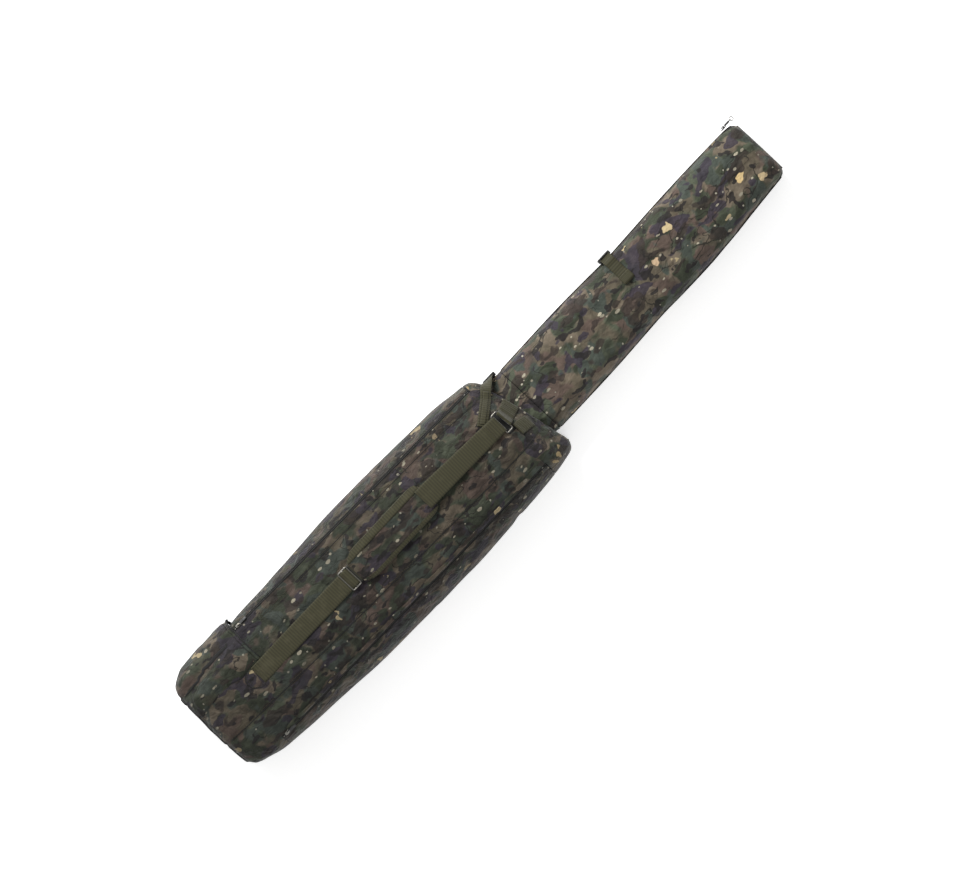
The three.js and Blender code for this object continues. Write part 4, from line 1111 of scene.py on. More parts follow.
for nm, j_lid, j_case, r0, sgn, node, lid in (("left", LE, SE, R_LL, 1, "zip_chain_left", "left_lid"), ("right", RL, RE, R_RL, -1, "zip_chain_right", "right_lid")):
    rr = slice(r0, R_END + 1)
    lid_edge, case_edge = G[rr, j_lid], G[rr, j_case]
    n = (NG[rr, j_lid] + NG[rr, j_case]) / 2
    n /= np.linalg.norm(n, axis=1, keepdims=True)
    mid = (lid_edge + case_edge) / 2 - n * 0.6
    nu = n.mean(0)
    sd = np.cross([1, 0, 0], nu)
    coil(f"zip_coil_{nm}", mid, nu, sd, "case", node)
    # woven tape under the coil, sewn to the case side
    inward = case_edge - lid_edge
    inward /= np.linalg.norm(inward, axis=1, keepdims=True)
    o = band(f"zip_tape_{nm}", mid + inward * 1.0 - n * 1.9, inward, 7.2, 0.9, TAPE, cols=4)
    put_on(o, "case", "zip")
    # folded binding on both lips
    o = tube(f"zip_lip_{nm}_lid", lid_edge - n * 1.0, 1.7, TAPE, n=8, r2=2.3, up=nu)
    put_on(o, lid, "zip")
    o = tube(f"zip_lip_{nm}_case", case_edge - n * 0.8, 1.8, TAPE, n=8, r2=2.3, up=nu)
    put_on(o, "case", "zip")
    # end stops
    for k, at in ((0, mid[1]), (1, mid[-2])):
        o = tube(f"zip_stop_{nm}_{k}", np.array([at - [2.2, 0, 0], at, at + [2.2, 0, 0]]) + nu * 0.4, [1.5, 1.9, 1.5], METAL, n=8, r2=1.5, up=nu)
        put_on(o, "case", "metal")
    # stitch lines either side, on the lid and on the case
    for side_name, j, sg, body in (("lid", j_lid, -1 if sgn > 0 else 1, lid), ("case", j_case, 1 if sgn > 0 else -1, "case")):
        pts = strip_points(G[rr], NG[rr], j, sg, [5.5])
        o = stitches(f"zip_stitch_{nm}_{side_name}", pts[:, 0], NG[rr, j], THREAD)
        put_on(o, body, "webbing")

# storm flap beside the right zip, sewn down along its inner edge
rr = slice(row(-846), R_END + 1)
lifts = np.array([0.9, 1.7, 2.1, 2.3, 2.2, 1.9, 1.2])
P = strip_points(G[rr], NG[rr], RE, -1, np.linspace(0.8, 13.5, 7), lifts)
P[..., 2] += (0.5 * fbm(P / 30, 61, 2))
uvf = np.stack([P[..., 0] + 1000, np.broadcast_to(np.linspace(0, 13, 7), P.shape[:2])], -1)
nn = outward(P, 60)
o = shell("zip_flap_right", P + nn * 0.5, P - nn * 0.7, grid_faces(*P.shape[:2]), uvf, [CAMO_TRIM, LINING, TAPE], crease=0.3)
put_on(o, "case", "camo")
o = stitches("zip_flap_stitch", strip_points(G[rr], NG[rr], RE, -1, [11.0], 2.4)[:, 0], NG[rr, RE - 4], THREAD)
put_on(o, "case", "webbing")

# the two long seams of the strap side: a puckered furrow with a row of stitches on each side
tree = bvh_of(CASE)
for nm, fn, x0, x1 in (("left", seamL, -700, 84), ("right", seamR, -960, 84)):
    for k, dy in enumerate((-3.6, 3.6)):
        pts, nrm = [], []
        for x in np.arange(x0, x1, 4.0):
            y = float(fn(x)) + dy
            xx = x - y * float(shear(x))
            p, n = drop(tree, xx, y)
            if p is not None:
                pts.append(p)
                nrm.append(n)
        o = stitches(f"seam_stitch_{nm}_{k}", pts, nrm, THREAD, length=3.6, gap=1.9, r=0.5)
        put_on(o, "case", "webbing")
# black piping lies in the left seam's hollow near the base, and along the right one's
for nm, fn, x0, x1, r in (("right", seamR, -958, 60, 1.1), ("left", seamL, -560, 60, 0.9)):
    pts = []
    for x in np.arange(x0, x1, 6.0):
        y = float(fn(x))
        p, n = drop(tree, x - y * float(shear(x)), y)
        if p is not None:
            pts.append(p + n * 0.2)
    o = tube(f"seam_piping_{nm}", np.array(pts), r, TAPE, n=6)
    put_on(o, "case", "zip")

# sleeve zip: on the left side between the sleeve's front and its back
lo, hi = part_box("zip_chain_sleeve")
xz = np.arange(140, 936, 6.0)
line = np.column_stack([xz, [float(SL(x)) - 0.9 for x in xz], np.full(len(xz), SLEEVE_Z)])
# follow the visible wall
fe = at_x(T1, 0, xz)
be = at_x(U0, U0.shape[1] - 1, xz)
line[:, 1] = (fe[:, 1] + be[:, 1]) / 2 - 0.4
coil("zip_coil_sleeve", line, [0, 1, 0], [0, 0, 1], "case", "zip_chain_sleeve", half=1.0)
o = band("zip_tape_sleeve", line - [0, 1.6, 0], [0, 0, 1], 4.2, 0.8, TAPE, cols=4)
put_on(o, "case", "zip")
# bindings on the sleeve's edges, both sides
for nm, P, j, body, dz in (("front_left", T1, 0, "sleeve_lid", 1.3), ("back_left", U0, U0.shape[1] - 1, "case", -1.3)):
    xx = np.arange(142, 966, 6.0)
    e_ = at_x(P, j, xx) + [0, 0.2, dz]
    o = tube(f"sleeve_lip_{nm}", e_, 1.6, TAPE, n=8, r2=1.3, up=[0, 1, 0])
    put_on(o, body, "zip")
for nm, P, j, body, dz in (("front_right", T1, T1.shape[1] - 1, "sleeve_lid", 1.4), ("back_right", U0, 0, "case", -1.4)):
    xx = np.arange(142, 962, 6.0)
    e_ = at_x(P, j, xx) + [0, -0.3, dz]
    o = tube(f"sleeve_piping_{nm}", e_, 1.5, TAPE if "front" in nm else OLIVE_FLAT, n=8, up=[0, 1, 0])
    put_on(o, body, "zip")
# stitched edge lines of the sleeve front
for nm, j, sg in (("left", 0, 1), ("right", T1.shape[1] - 1, -1)):
    Pf = T1[3:-6]
    pts = strip_points(Pf, TN[3:-6], j, sg, [7.0])
    pts = pts[(pts[:, 0, 0] > 142) & (pts[:, 0, 0] < 950)]
    nr = TN[3:-6][:, j][: len(pts)]
    o = stitches(f"sleeve_stitch_{nm}", pts[:, 0], nr, THREAD)
    put_on(o, "sleeve_lid", "webbing")


# ------------------------------------------------------------------ shoulder strap
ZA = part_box("strap_patch_base")[0].z / MM + 1.2
STRAP_W = 50.0


def rumple(P, amp, seed, scale=60.0):
    """Gentle lift and dip of a strap line."""
    L = np.r_[0, np.cumsum(np.linalg.norm(np.diff(P, axis=0), axis=1))]
    ends = np.clip(np.minimum(L, L[-1] - L) / 30, 0, 1)
    Q = P.copy()
    Q[:, 2] += amp * ends * fbm(np.stack([L / scale, L * 0, L * 0], -1), seed, 2)
    return Q


def hand(o, body, slot="webbing", *nodes):
    return put_on(o, body, slot, *nodes)


# lower webbing, gently lifting and dipping along its length
path = rumple(dense([[-798, 26.5, ZA + 0.2], [-640, 26, ZA + 4], [-498, 24.5, ZA + 7.6], [-462, 24.5, ZA + 8.2]], 5.0), 0.8, 71)
o = band("strap_lower_web", path, [0, 1, 0], STRAP_W, 2.1, OLIVE, cols=14, crown=0.6, wave=0.3)
hand(o, "case", "webbing", "strap_webbing_lower")
# box stitch where the lower end is sewn to the patch
x0, y0 = -797, 26.5
bx = [[-797, 5], [-775, 5], [-775, 48], [-797, 48], [-797, 5]]
zt = lambda x: ZA + 0.2 + (x + 798) / 158 * 3.8 + 1.75
pts = dense_line = np.vstack([np.linspace(a, b, 9)[:-1] for a, b in zip(bx[:-1], bx[1:])])
o = stitches("strap_box_stitch", np.column_stack([pts, [zt(p[0]) for p in pts]]), np.tile([0, 0, 1.0], (len(pts), 1)), THREAD, lift=0.1)
hand(o, "case")
pts = np.linspace([-797, 5], [-775, 48], 14)
o = stitches("strap_cross_stitch_a", np.column_stack([pts, [zt(p[0]) for p in pts]]), np.tile([0, 0, 1.0], (14, 1)), THREAD, lift=0.1)
hand(o, "case")
pts = np.linspace([-797, 48], [-775, 5], 14)
o = stitches("strap_cross_stitch_b", np.column_stack([pts, [zt(p[0]) for p in pts]]), np.tile([0, 0, 1.0], (14, 1)), THREAD, lift=0.3)
hand(o, "case")

# camo reinforcing tab below the strap's end: a folded patch narrowing towards the base
yy = np.linspace(-1, 1, 15)
rows_ = []
for x, ya, yb, lift in ((-797, 0.5, 53, 0.8), (-806, -1, 53, 2.0), (-815, 2, 50, 2.3), (-824, 9, 44, 2.0), (-831, 16, 37, 1.2)):
    y = (ya + yb) / 2 + yy * (yb - ya) / 2
    rows_.append(np.column_stack([np.full(15, x), y, ZA - 0.9 + lift * (1 - 0.45 * yy**4) + 0.25 * np.sin(y / 3.0 + x)]))
Pt = np.stack(rows_)
o = shell("strap_patch_tab", Pt, Pt - [0, 0, 1.6], grid_faces(*Pt.shape[:2]), Pt[..., :2] + 1000, [CAMO_TRIM, TAPE, TAPE], crease=0.4)
fix_normals(o)
hand(o, "case", "camo", "strap_patch_base")
edge = np.vstack([Pt[:, 0], Pt[-1, 1:-1], Pt[::-1, -1]])
o = tube("strap_patch_edge", edge + [0, 0, -0.2], 1.1, TAPE, n=6)
hand(o, "case", "zip")
inner_tab = np.vstack([Pt[:, 1], Pt[-2, 2:-2], Pt[::-1, -2]]) + [0, 0, 0.05]
o = stitches("strap_patch_stitch", inner_tab, np.tile([0, 0, 1.0], (len(inner_tab), 1)), THREAD)
hand(o, "case")

# the webbing doubles back through the adjuster: over its middle bar and away underneath
az = ZA + 9.8
cx = -477.0
tilt_z = lambda x: (x - cx) * 0.026
loop = dense([[-505, 24.5, az - 1.3], [-493, 24.5, az - 0.9], [-486.5, 24.5, az - 0.1], [-482.5, 24.5, az + 2.6], [-479, 24.5, az + 4.6], [-477, 24.5, az + 4.9], [-475, 24.5, az + 4.6], [-471.5, 24.5, az + 2.6], [-468, 24.5, az + 0.2], [-463, 24.5, az - 1.2], [-452, 24.5, az - 1.0]], 2.0)
# this loop slides with the adjuster
o = band("strap_loop_web", loop, [0, 1, 0], 48.5, 1.8, OLIVE, cols=12, crown=0.25)
hand(o, "adjuster")

# ------------------------------------------------------------------ shoulder pad
PX0, PX1, PYC = -456.0, -203.0, 25.0
pxs = np.r_[PX0, PX0 + 2.5, np.arange(PX0 + 7, PX1 - 4, 6.0), PX1 - 2.5, PX1]
pv = np.linspace(-1, 1, 31)


def pad_half(x):
    return np.interp(x, [PX0, PX0 + 26, PX1 - 14, PX1], [29, 44.6, 44.6, 35])


hw = pad_half(pxs)
# ease the corners
hw = np.convolve(np.r_[[hw[0]] * 2, hw, [hw[-1]] * 2], [0.12, 0.2, 0.36, 0.2, 0.12], "valid")
ends = np.clip(np.minimum(pxs - PX0, PX1 - pxs) / 16, 0, 1) ** 0.5
yv = PYC + hw[:, None] * pv[None]
core = np.clip(1 - np.abs(pv) ** 5, 0, 1)[None]
base_z = ZA + 9.2
Zt = base_z + 2.2 + 4.6 * core * (0.45 + 0.55 * ends[:, None])
Ptop = np.stack([np.broadcast_to(pxs[:, None], yv.shape), yv, Zt], -1)
pnrm = np.zeros_like(Ptop)
pnrm[..., 2] = 1
ppin = np.zeros(yv.shape, bool)
ppin[:, 0] = ppin[:, -1] = True
ppin[0] = ppin[-1] = True
j1, j2 = int(np.argmin(np.abs(pv - (-36 / 45)))), int(np.argmin(np.abs(pv - 24 / 45)))
ppin[:, j1] = ppin[:, j2] = True
Pd = Ptop.copy()
Pd[:, j1, 2] -= 1.2
Pd[:, j2, 2] -= 1.2
jig = 0.7 * fbm(Ptop / 22, 81, 3)
Pd2 = cloth((Pd + pnrm * ((~ppin) * jig)[..., None]).reshape(-1, 3), grid_faces(*yv.shape), ppin.ravel(), 3.0, 0.05, frames=14, bend=0.6, tension=12).reshape(Pd.shape)
Pd2 = settle(Pd, Pd2, pnrm, -1.2, 2.6, 2.0)
Pd2 = Pd2 + pnrm * ((~ppin) * (0.7 * fbm(Ptop / 40, 83, 2)))[..., None]
Pb = Ptop.copy()
Pb[..., 2] = base_z - 0.2 + 0.8 * (np.abs(pv)[None] ** 6)
uvp = np.stack([Ptop[..., 0] + 1000, Ptop[..., 1]], -1)
o = shell("shoulder_pad_cushion", Pd2, Pb, grid_faces(*yv.shape), uvp, [CAMO_TRIM, OLIVE_FLAT, OLIVE_FLAT], crease=0.3)
hand(o, "case", "camo", "shoulder_pad_face", "shoulder_pad_backing")
PAD = o
# olive binding bands sewn along both sides, wrapped over the edges
ptree = bvh_of(PAD)


def pad_band(name, ya, yb, wrap):
    xs_ = np.arange(PX0 + 1.5, PX1 - 0.5, 5.0)
    cols_ = np.linspace(0, 1, 9)
    rows_ = []
    for x in xs_:
        h = float(np.interp(x, pxs, hw))
        r = []
        for c in cols_:
            y = ya + (yb - ya) * c
            y = float(np.clip(y, PYC - h - 0.6, PYC + h + 0.6))
            lim = float(np.clip(y, PYC - h + 2.4, PYC + h - 2.4))
            p, n = drop(ptree, x, lim)
            z = p[2] if p is not None else base_z + 3
            over = abs(y - lim) / 3.0
            r.append([x, y, z + 0.55 - 2.2 * min(1, over) ** 2])
        rows_.append(r)
    P = np.array(rows_)
    # smooth the height along the band so that it bridges small wrinkles
    k = np.array([1, 2, 3, 2, 1.0]) / 9
    for c in range(P.shape[1]):
        P[:, c, 2] = np.maximum(np.convolve(np.r_[[P[0, c, 2]] * 2, P[:, c, 2], [P[-1, c, 2]] * 2], k, "valid"), P[:, c, 2] - 0.5)
    o = shell(name, P + [0, 0, 0.75], P - [0, 0, 0.75], grid_faces(*P.shape[:2]), np.stack([P[..., 0] + 1000, P[..., 1]], -1), [OLIVE, OLIVE, OLIVE], crease=0.3)
    fix_normals(o)
    hand(o, "case")
    for kx, c in ((0, 1), (1, P.shape[1] - 2)):
        o = stitches(f"{name}_stitch_{kx}", P[:, c] + [0, 0, 0.8], np.tile([0, 0, 1.0], (len(P), 1)), THREAD, lift=0.1)
        hand(o, "case")
    return P


pad_band("pad_band_left", PYC + 45.2, PYC + 24.5, True)
pad_band("pad_band_right", PYC - 45.2, PYC - 34.5, True)
# folded end: the pad's tongue that runs into the adjuster
tong = dense([[-462, 24.5, az - 1.0], [-456, 24.5, az + 0.4], [-448, 24.5, az + 1.6], [-440, 24.5, az + 2.2]], 3.0)
o = band("pad_tongue_lower", tong + [0, 0, 0.4], [0, 1, 0], 50, 2.0, OLIVE, cols=12, crown=0.3)
hand(o, "case")
o = tube("pad_keeper_bar", np.array([[-459.5, y, az + 1.2] for y in np.linspace(-3, 52, 12)]), 1.5, PLASTIC, n=8, r2=1.2)
hand(o, "case", "plastic")

# upper webbing from the pad to the ring
up_path = rumple(dense([[-219, 24, ZA + 17.6], [-207, 24, ZA + 18.6], [-196, 23.8, ZA + 17.6], [-150, 22, ZA + 14.2], [-100, 20, ZA + 11.5], [0, 16, ZA + 5.0], [38, 14.5, ZA + 3.0]], 5.0), 0.9, 73)
o = band("strap_upper_web", up_path, [0, 1, 0], STRAP_W, 2.1, OLIVE, cols=14, crown=0.7, wave=0.3, taper=((0, 1.14), (0.12, 1.14), (0.6, 1.02), (1, 0.96)))
hand(o, "case", "webbing", "strap_webbing_upper")
# its end folds round the ring's near bar
fold = dense([[10, 15.6, ZA + 2.6], [30, 14.9, ZA + 0.5], [40.5, 14.4, ZA - 0.3], [43.2, 14.3, ZA + 1.2], [41.5, 14.3, ZA + 3.6], [34, 14.6, ZA + 5.6], [18, 15.2, ZA + 6.6], [8, 15.7, ZA + 7.4]], 2.5)
o = band("strap_upper_fold", fold, [0, 1, 0], 46, 1.7, OLIVE, cols=12, crown=0.3)
hand(o, "case")
# stitched bar where it is sewn back on itself
for k, x in enumerate((12, 15, 27)):
    z = ZA + 6.9 if k < 2 else ZA + 6.0
    pts = np.array([[x, y, z + 1.15] for y in np.linspace(-6, 36, 14)])
    hand(stitches(f"strap_upper_stitch_{k}", pts, np.tile([0, 0, 1.0], (14, 1)), THREAD), "case")

# painted shadow: a black sheet under the ring, dark in the gaps round the webbing where shade falls; and a black sliver
# at the pad's corner, painted shadow under that corner
tree = bvh_of(CASE)
rowsb = []
for x in (39, 43, 48, 53, 58, 63, 67):
    r_ = []
    for y in np.linspace(-22, 41, 16):
        p, n = drop(tree, x, y)
        r_.append(p + n * 0.9)
    rowsb.append(r_)
Pt = np.array(rowsb)
o = shell("ring_painted_shadow", Pt, Pt - [0, 0, 1.4], grid_faces(*Pt.shape[:2]), Pt[..., :2] + 500, [TAPE, TAPE, TAPE], crease=0.3)
fix_normals(o)
hand(o, "case", "zip")
# painted shadow under the pad's lifted corner, made as a small black band
corner_shadow_path = dense([[-206, 60, ZA + 13.5], [-203, 64, ZA + 12.0], [-199, 71, ZA + 7.0], [-196, 76, ZA + 3.5]], 2.0)
o = band("pad_corner_painted_shadow", corner_shadow_path, [1, 0.4, 0], 7.0, 1.4, TAPE, cols=6, crown=0.4, taper=((0, 1), (0.7, 0.7), (1, 0.2)))
hand(o, "case", "zip")

# ring anchor, second tail and the diagonal retention strap on the hood
tree = bvh_of(CASE)


def lay(points, side, w, clear, step=3.5, lim=None):
    """Lay a band on the hood: centre line and local width direction from the surface."""
    P = dense([[p[0], p[1], 0] for p in points], step)
    out, sides = [], []
    for i, p in enumerate(P):
        s = np.array(side[0]) + (np.array(side[1]) - np.array(side[0])) * i / (len(P) - 1) if np.ndim(side) == 2 else np.array(side, float)
        s = s / np.hypot(*s)
        zz = []
        for e in (-0.5, -0.25, 0, 0.25, 0.5):
            h, n = drop(tree, p[0] + s[0] * e * w, p[1] + s[1] * e * w)
            zz.append(h[2] if h is not None else np.nan)
        zz = np.array(zz)
        a, b = np.polyfit([-0.5, -0.25, 0, 0.25, 0.5], np.where(np.isnan(zz), np.nanmin(zz), zz), 1)
        lift = np.nanmax(zz - (b + a * np.array([-0.5, -0.25, 0, 0.25, 0.5])))
        out.append([p[0], p[1], b + max(0, lift) + clear])
        sides.append([s[0] * w, s[1] * w, a])
    return np.array(out), np.array(sides)


def smooth_z(P, n=3):
    Q = P.copy()
    for _ in range(n):
        Q[1:-1, 2] = np.maximum((Q[:-2, 2] + 2 * Q[1:-1, 2] + Q[2:, 2]) / 4, Q[1:-1, 2] - 0.6)
    return Q


ring_z = ZA + 1.2
P, S = lay([[64, 17.5], [74, 20.5], [86, 24.5], [98, 28.5]], [-0.12, 1], 44, 1.6)
P = smooth_z(P)
P = np.vstack([[[57.0, 15.0, ring_z + 1.8], [58.6, 15.5, ring_z - 0.2]], P[1:]]) if P[0, 2] < ring_z else P
S = np.vstack([S[:1], S[:1], S[1:]]) if len(S) < len(P) else S
Q = dense(P, 3.0)
Sx = np.column_stack([np.interp(np.linspace(0, 1, len(Q)), np.linspace(0, 1, len(S)), S[:, k]) for k in range(3)])
o = band("strap_anchor_web", Q, Sx, 44, 2.0, OLIVE, cols=12, crown=0.4, wave=0.2)
hand(o, "case", "webbing", "strap_anchor_neck")
# the anchor's loop round the ring's far bar
lp = dense([[66, 18.2, P[3][2] - 0.5], [60.5, 16.3, ring_z - 2.4], [56.2, 15.2, ring_z - 1.6], [54.8, 14.9, ring_z + 0.4], [56.4, 15.2, ring_z + 2.6], [60.5, 16.4, ring_z + 2.2], [66, 18.2, P[3][2] + 2.0]], 2.0)
o = band("strap_anchor_loop", lp, [-0.05, 1, 0], 44, 1.6, OLIVE, cols=12)
hand(o, "case")
for k, f in enumerate((0.45, 0.8)):
    i = int(f * (len(Q) - 1))
    s = Sx[i] / np.linalg.norm(Sx[i])
    nrm = np.cross(Q[i + 1] - Q[i - 1], s)
    nrm = nrm / np.linalg.norm(nrm) * (1 if nrm[2] > 0 else -1)
    pts = Q[i] + s * np.linspace(-19, 19, 12)[:, None] + nrm * 1.5
    hand(stitches(f"strap_anchor_stitch_{k}", pts, np.tile(nrm, (12, 1)), THREAD), "case")

# curled second piece
P, S = lay([[62, -26], [74, -28], [87, -30], [98, -33]], [-0.2, 1], 36, 1.6)
P = smooth_z(P)
P[:3, 2] += [4.2, 1.8, 0.4]
o = band("strap_tail_web", P, S, 36, 2.0, OLIVE, cols=12, crown=1.6, wave=0.5)
hand(o, "case", "webbing", "strap_tail")
i = len(P) // 2
for k, f in enumerate((0.35, 0.7)):
    i = int(f * (len(P) - 1))
    s = S[i] / np.linalg.norm(S[i])
    nrm = np.cross(P[i + 1] - P[i - 1], s)
    nrm = nrm / np.linalg.norm(nrm) * (1 if nrm[2] > 0 else -1)
    tt = np.linspace(-15, 15, 12)
    pts = P[i] + s * tt[:, None] + nrm * (1.3 + 1.6 * (1 - (tt[:, None] / 18) ** 2))
    hand(stitches(f"strap_tail_stitch_{k}", pts, np.tile(nrm, (12, 1)), THREAD), "case")

# neck retention strap: two layers of webbing from the hood down to its buckle
nY = float(SL(107))
P, S = lay([[8, 40], [30, 56], [48, 69], [64, 81]], [0.62, -0.75], 27, 1.5)
P = smooth_z(P)
tail_p = np.array([[80, 96, 156], [93, nY + 4, 134], [103, nY + 8, 108], [107, nY + 8, 96], [107, nY + 8, 82.5]])
tail_s = np.array([[0.72, -0.62, -0.15], [0.86, -0.4, -0.1], [0.97, -0.1, 0], [1, 0, 0], [1, 0, 0]])
Sn = S / np.linalg.norm(S, axis=1, keepdims=True)
Q = dense(np.vstack([P[::3], tail_p]), 3.0)
Sq = np.vstack([Sn[::3], tail_s])
Sx = np.column_stack([np.interp(np.linspace(0, 1, len(Q)), np.linspace(0, 1, len(Sq)), Sq[:, k]) for k in range(3)])
o = band("neck_strap_web", Q, Sx, 27, 1.8, OLIVE, cols=10, crown=0.25)
hand(o, "case", "webbing", "neck_strap_upper")
o = band("neck_strap_double", Q[2 : len(Q) * 5 // 9] + [0, 0, 1.9], Sx[2 : len(Q) * 5 // 9], 14, 1.3, OLIVE, cols=6, crown=0.2)
hand(o, "case")
up0 = []
for k, off in enumerate((-8.8, 8.8)):
    m = len(Q) * 5 // 9
    s = Sx[:m] / np.linalg.norm(Sx[:m], axis=1, keepdims=True)
    T = np.gradient(Q, axis=0)[:m]
    nr = np.cross(T, s)
    nr *= np.sign(nr[:, 2:3])
    nr /= np.linalg.norm(nr, axis=1, keepdims=True)
    hand(stitches(f"neck_strap_stitch_{k}", Q[:m] + s * off + nr * 1.15, nr, THREAD), "case")

# sleeve retention strap over the left edge
SXC = 516.0
sideY = float(SL(SXC))
stree = bvh_of(FRONT)
pts = []
for y in (20, 32, 44, 56, 68, 78):
    zs = [drop(stree, SXC + e, y)[0] for e in (-14, -7, 0, 7, 14)]
    pts.append([SXC, y, max(z[2] for z in zs if z is not None) + 1.5])
Q = dense(pts + [[SXC, 90, 100], [SXC, 97.5, 93.5], [SXC, sideY + 6.5, 86], [SXC, sideY + 8, 78]], 3.0)
o = band("sleeve_strap_web", Q, [1, 0, 0], 30, 1.9, OLIVE, cols=10, crown=0.3)
hand(o, "sleeve_lid", "webbing", "sleeve_strap_upper")
o = band("sleeve_strap_patch", Q[1:9] + [0, 0, 1.5], [1, 0, 0], 33, 1.4, OLIVE_FLAT, cols=10, crown=0.3)
hand(o, "sleeve_lid")
for k, i in enumerate((2, 7)):
    pts_ = Q[i] + np.array([[x, 0, 2.4] for x in np.linspace(-13, 13, 10)])
    hand(stitches(f"sleeve_strap_stitch_{k}", pts_, np.tile([0, 0, 1.0], (10, 1)), THREAD), "sleeve_lid")

# lower tails: the webbing below each buckle's plug, down the side
for nm, x, sy, zt in (("sleeve", SXC, sideY, 26.4), ("neck", 107.0, nY, 32.4)):
    pth = dense([[x, sy + 8, zt + 6.0], [x, sy + 8, zt], [x, sy + 5.5, zt - 7.6], [x, sy - 2, (zt - 5) * 0.5 + 0.6], [x, sy - 8.5, 5.4]], 2.2)
    o = band(f"{nm}_strap_lower_web", pth, [1, 0, 0], 30, 1.8, OLIVE, cols=8, crown=0.2)
    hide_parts(f"{nm}_strap_lower")
    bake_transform(o)


# ------------------------------------------------------------------ hardware
import bmesh
from mathutils import Matrix


def block(x0, x1, y0, y1, z0, z1, bevel=0.8, seg=2):
    """A block with rounded edges, in millimetres; not yet in the scene."""
    b = bmesh.new()
    bmesh.ops.create_cube(b, size=1.0)
    for v in b.verts:
        v.co = ((x0 + x1) / 2 + v.co.x * (x1 - x0), (y0 + y1) / 2 + v.co.y * (y1 - y0), (z0 + z1) / 2 + v.co.z * (z1 - z0))
    if bevel:
        bmesh.ops.bevel(b, geom=list(b.edges), offset=min(bevel, 0.45 * min(x1 - x0, y1 - y0, z1 - z0)), segments=seg, profile=0.5, affect="EDGES")
    return b


def plate(outline, z0, z1, bevel=0.3, seg=2):
    """A flat plate with that outline (x, y), rounded along its rims."""
    b = bmesh.new()
    lo_ = [b.verts.new((x, y, z0)) for x, y in outline]
    hi_ = [b.verts.new((x, y, z1)) for x, y in outline]
    b.faces.new(lo_[::-1])
    b.faces.new(hi_)
    n = len(outline)
    for i in range(n):
        b.faces.new((lo_[i], lo_[(i + 1) % n], hi_[(i + 1) % n], hi_[i]))
    bmesh.ops.recalc_face_normals(b, faces=b.faces)
    if bevel:
        rims = [e for e in b.edges if abs(e.verts[0].co.z - e.verts[1].co.z) < 1e-6]
        bmesh.ops.bevel(b, geom=rims, offset=bevel, segments=seg, profile=0.5, affect="EDGES")
    return b


def temp(b):
    me = bpy.data.meshes.new("solid_part")
    b.to_mesh(me)
    b.free()
    o = bpy.data.objects.new("solid_part", me)
    bpy.context.scene.collection.objects.link(o)
    return o


def combine(a, b, op):
    """Boolean of two temporary solids; b is used up."""
    a = temp(a) if isinstance(a, bmesh.types.BMesh) else a
    b = temp(b) if isinstance(b, bmesh.types.BMesh) else b
    m = a.modifiers.new("b", "BOOLEAN")
    m.operation, m.object, m.solver = op, b, "EXACT"
    dg = bpy.context.evaluated_depsgraph_get()
    me = bpy.data.meshes.new_from_object(a.evaluated_get(dg))
    a.modifiers.clear()
    old = a.data
    a.data = me
    bpy.data.meshes.remove(old)
    om = b.data
    bpy.data.objects.remove(b)
    bpy.data.meshes.remove(om)
    return a


def cut(a, *bs):
    for b in bs:
        a = combine(a, b, "DIFFERENCE")
    return a


def fuse(a, *bs):
    for b in bs:
        a = combine(a, b, "UNION")
    return a


def finish_solid(name, o, m, mat, body, slot, *nodes, soft=30):
    """Places a solid built in millimetres by matrix m and gives it its finish."""
    o = temp(o) if isinstance(o, bmesh.types.BMesh) else o
    o.name = name
    o.data.name = name
    o.data.transform(m)
    o.data.transform(Matrix.Scale(MM, 4))
    b = bmesh.new()
    b.from_mesh(o.data)
    bmesh.ops.remove_doubles(b, verts=b.verts, dist=2e-6)
    bmesh.ops.recalc_face_normals(b, faces=b.faces)
    b.to_mesh(o.data)
    b.free()
    o.data.polygons.foreach_set("use_smooth", [True] * len(o.data.polygons))
    o.data.set_sharp_from_angle(angle=math.radians(soft))
    o.data.materials.clear()
    o.data.materials.append(mat)
    return put_on(o, body, slot, *nodes)


def rounded_rect(hx, hy, r, k=5):
    pts = []
    for cx_, cy_, a0 in ((hx - r, hy - r, 0), (-hx + r, hy - r, 90), (-hx + r, -hy + r, 180), (hx - r, -hy + r, 270)):
        for i in range(k + 1):
            a = math.radians(a0 + 90 * i / k)
            pts.append((cx_ + r * math.cos(a), cy_ + r * math.sin(a)))
    return pts


def wire_frame(name, hx, hy, r, place, mat, body, *nodes, w=1.75, t=1.5, bars=()):
    pl = rounded_rect(hx, hy, r)
    L = []
    for i, p in enumerate(pl):
        q = pl[(i + 1) % len(pl)]
        k = max(1, int(math.hypot(q[0] - p[0], q[1] - p[1]) / 4))
        L += [(p[0] + (q[0] - p[0]) * s / k, p[1] + (q[1] - p[1]) * s / k) for s in range(k)]
    P = np.array([place @ Vector((x, y, 0)) for x, y in L])
    up = np.array(place.to_3x3() @ Vector((0, 0, 1)))
    o = tube(name, P, w, mat, n=10, closed=True, r2=t, up=up)
    put_on(o, body, "metal", *nodes)
    for k, (bx_, wd) in enumerate(bars):
        P = np.array([place @ Vector((bx_, y, 0)) for y in np.linspace(-hy, hy, 14)])
        o = tube(f"{name}_bar{k}", P, wd, mat, n=10, r2=t * 0.9, up=up)
        put_on(o, body, "metal")


wire_frame("adjuster_frame", 13.2, 27.2, 3.2, Matrix.Translation((cx, 24.5, az + 1.5)) @ Matrix.Rotation(-0.026, 4, "Y"), METAL, "adjuster", "strap_adjuster", bars=((0.0, 2.0),))
wire_frame("ring_frame", 9.2, 28.2, 3.4, Matrix.Translation((48, 13.5, ZA + 1.2)) @ Matrix.Rotation(0.1, 4, "Y") @ Matrix.Translation((0, 0, 1.5)), METAL, "ring", "strap_ring", w=1.75, t=1.45)


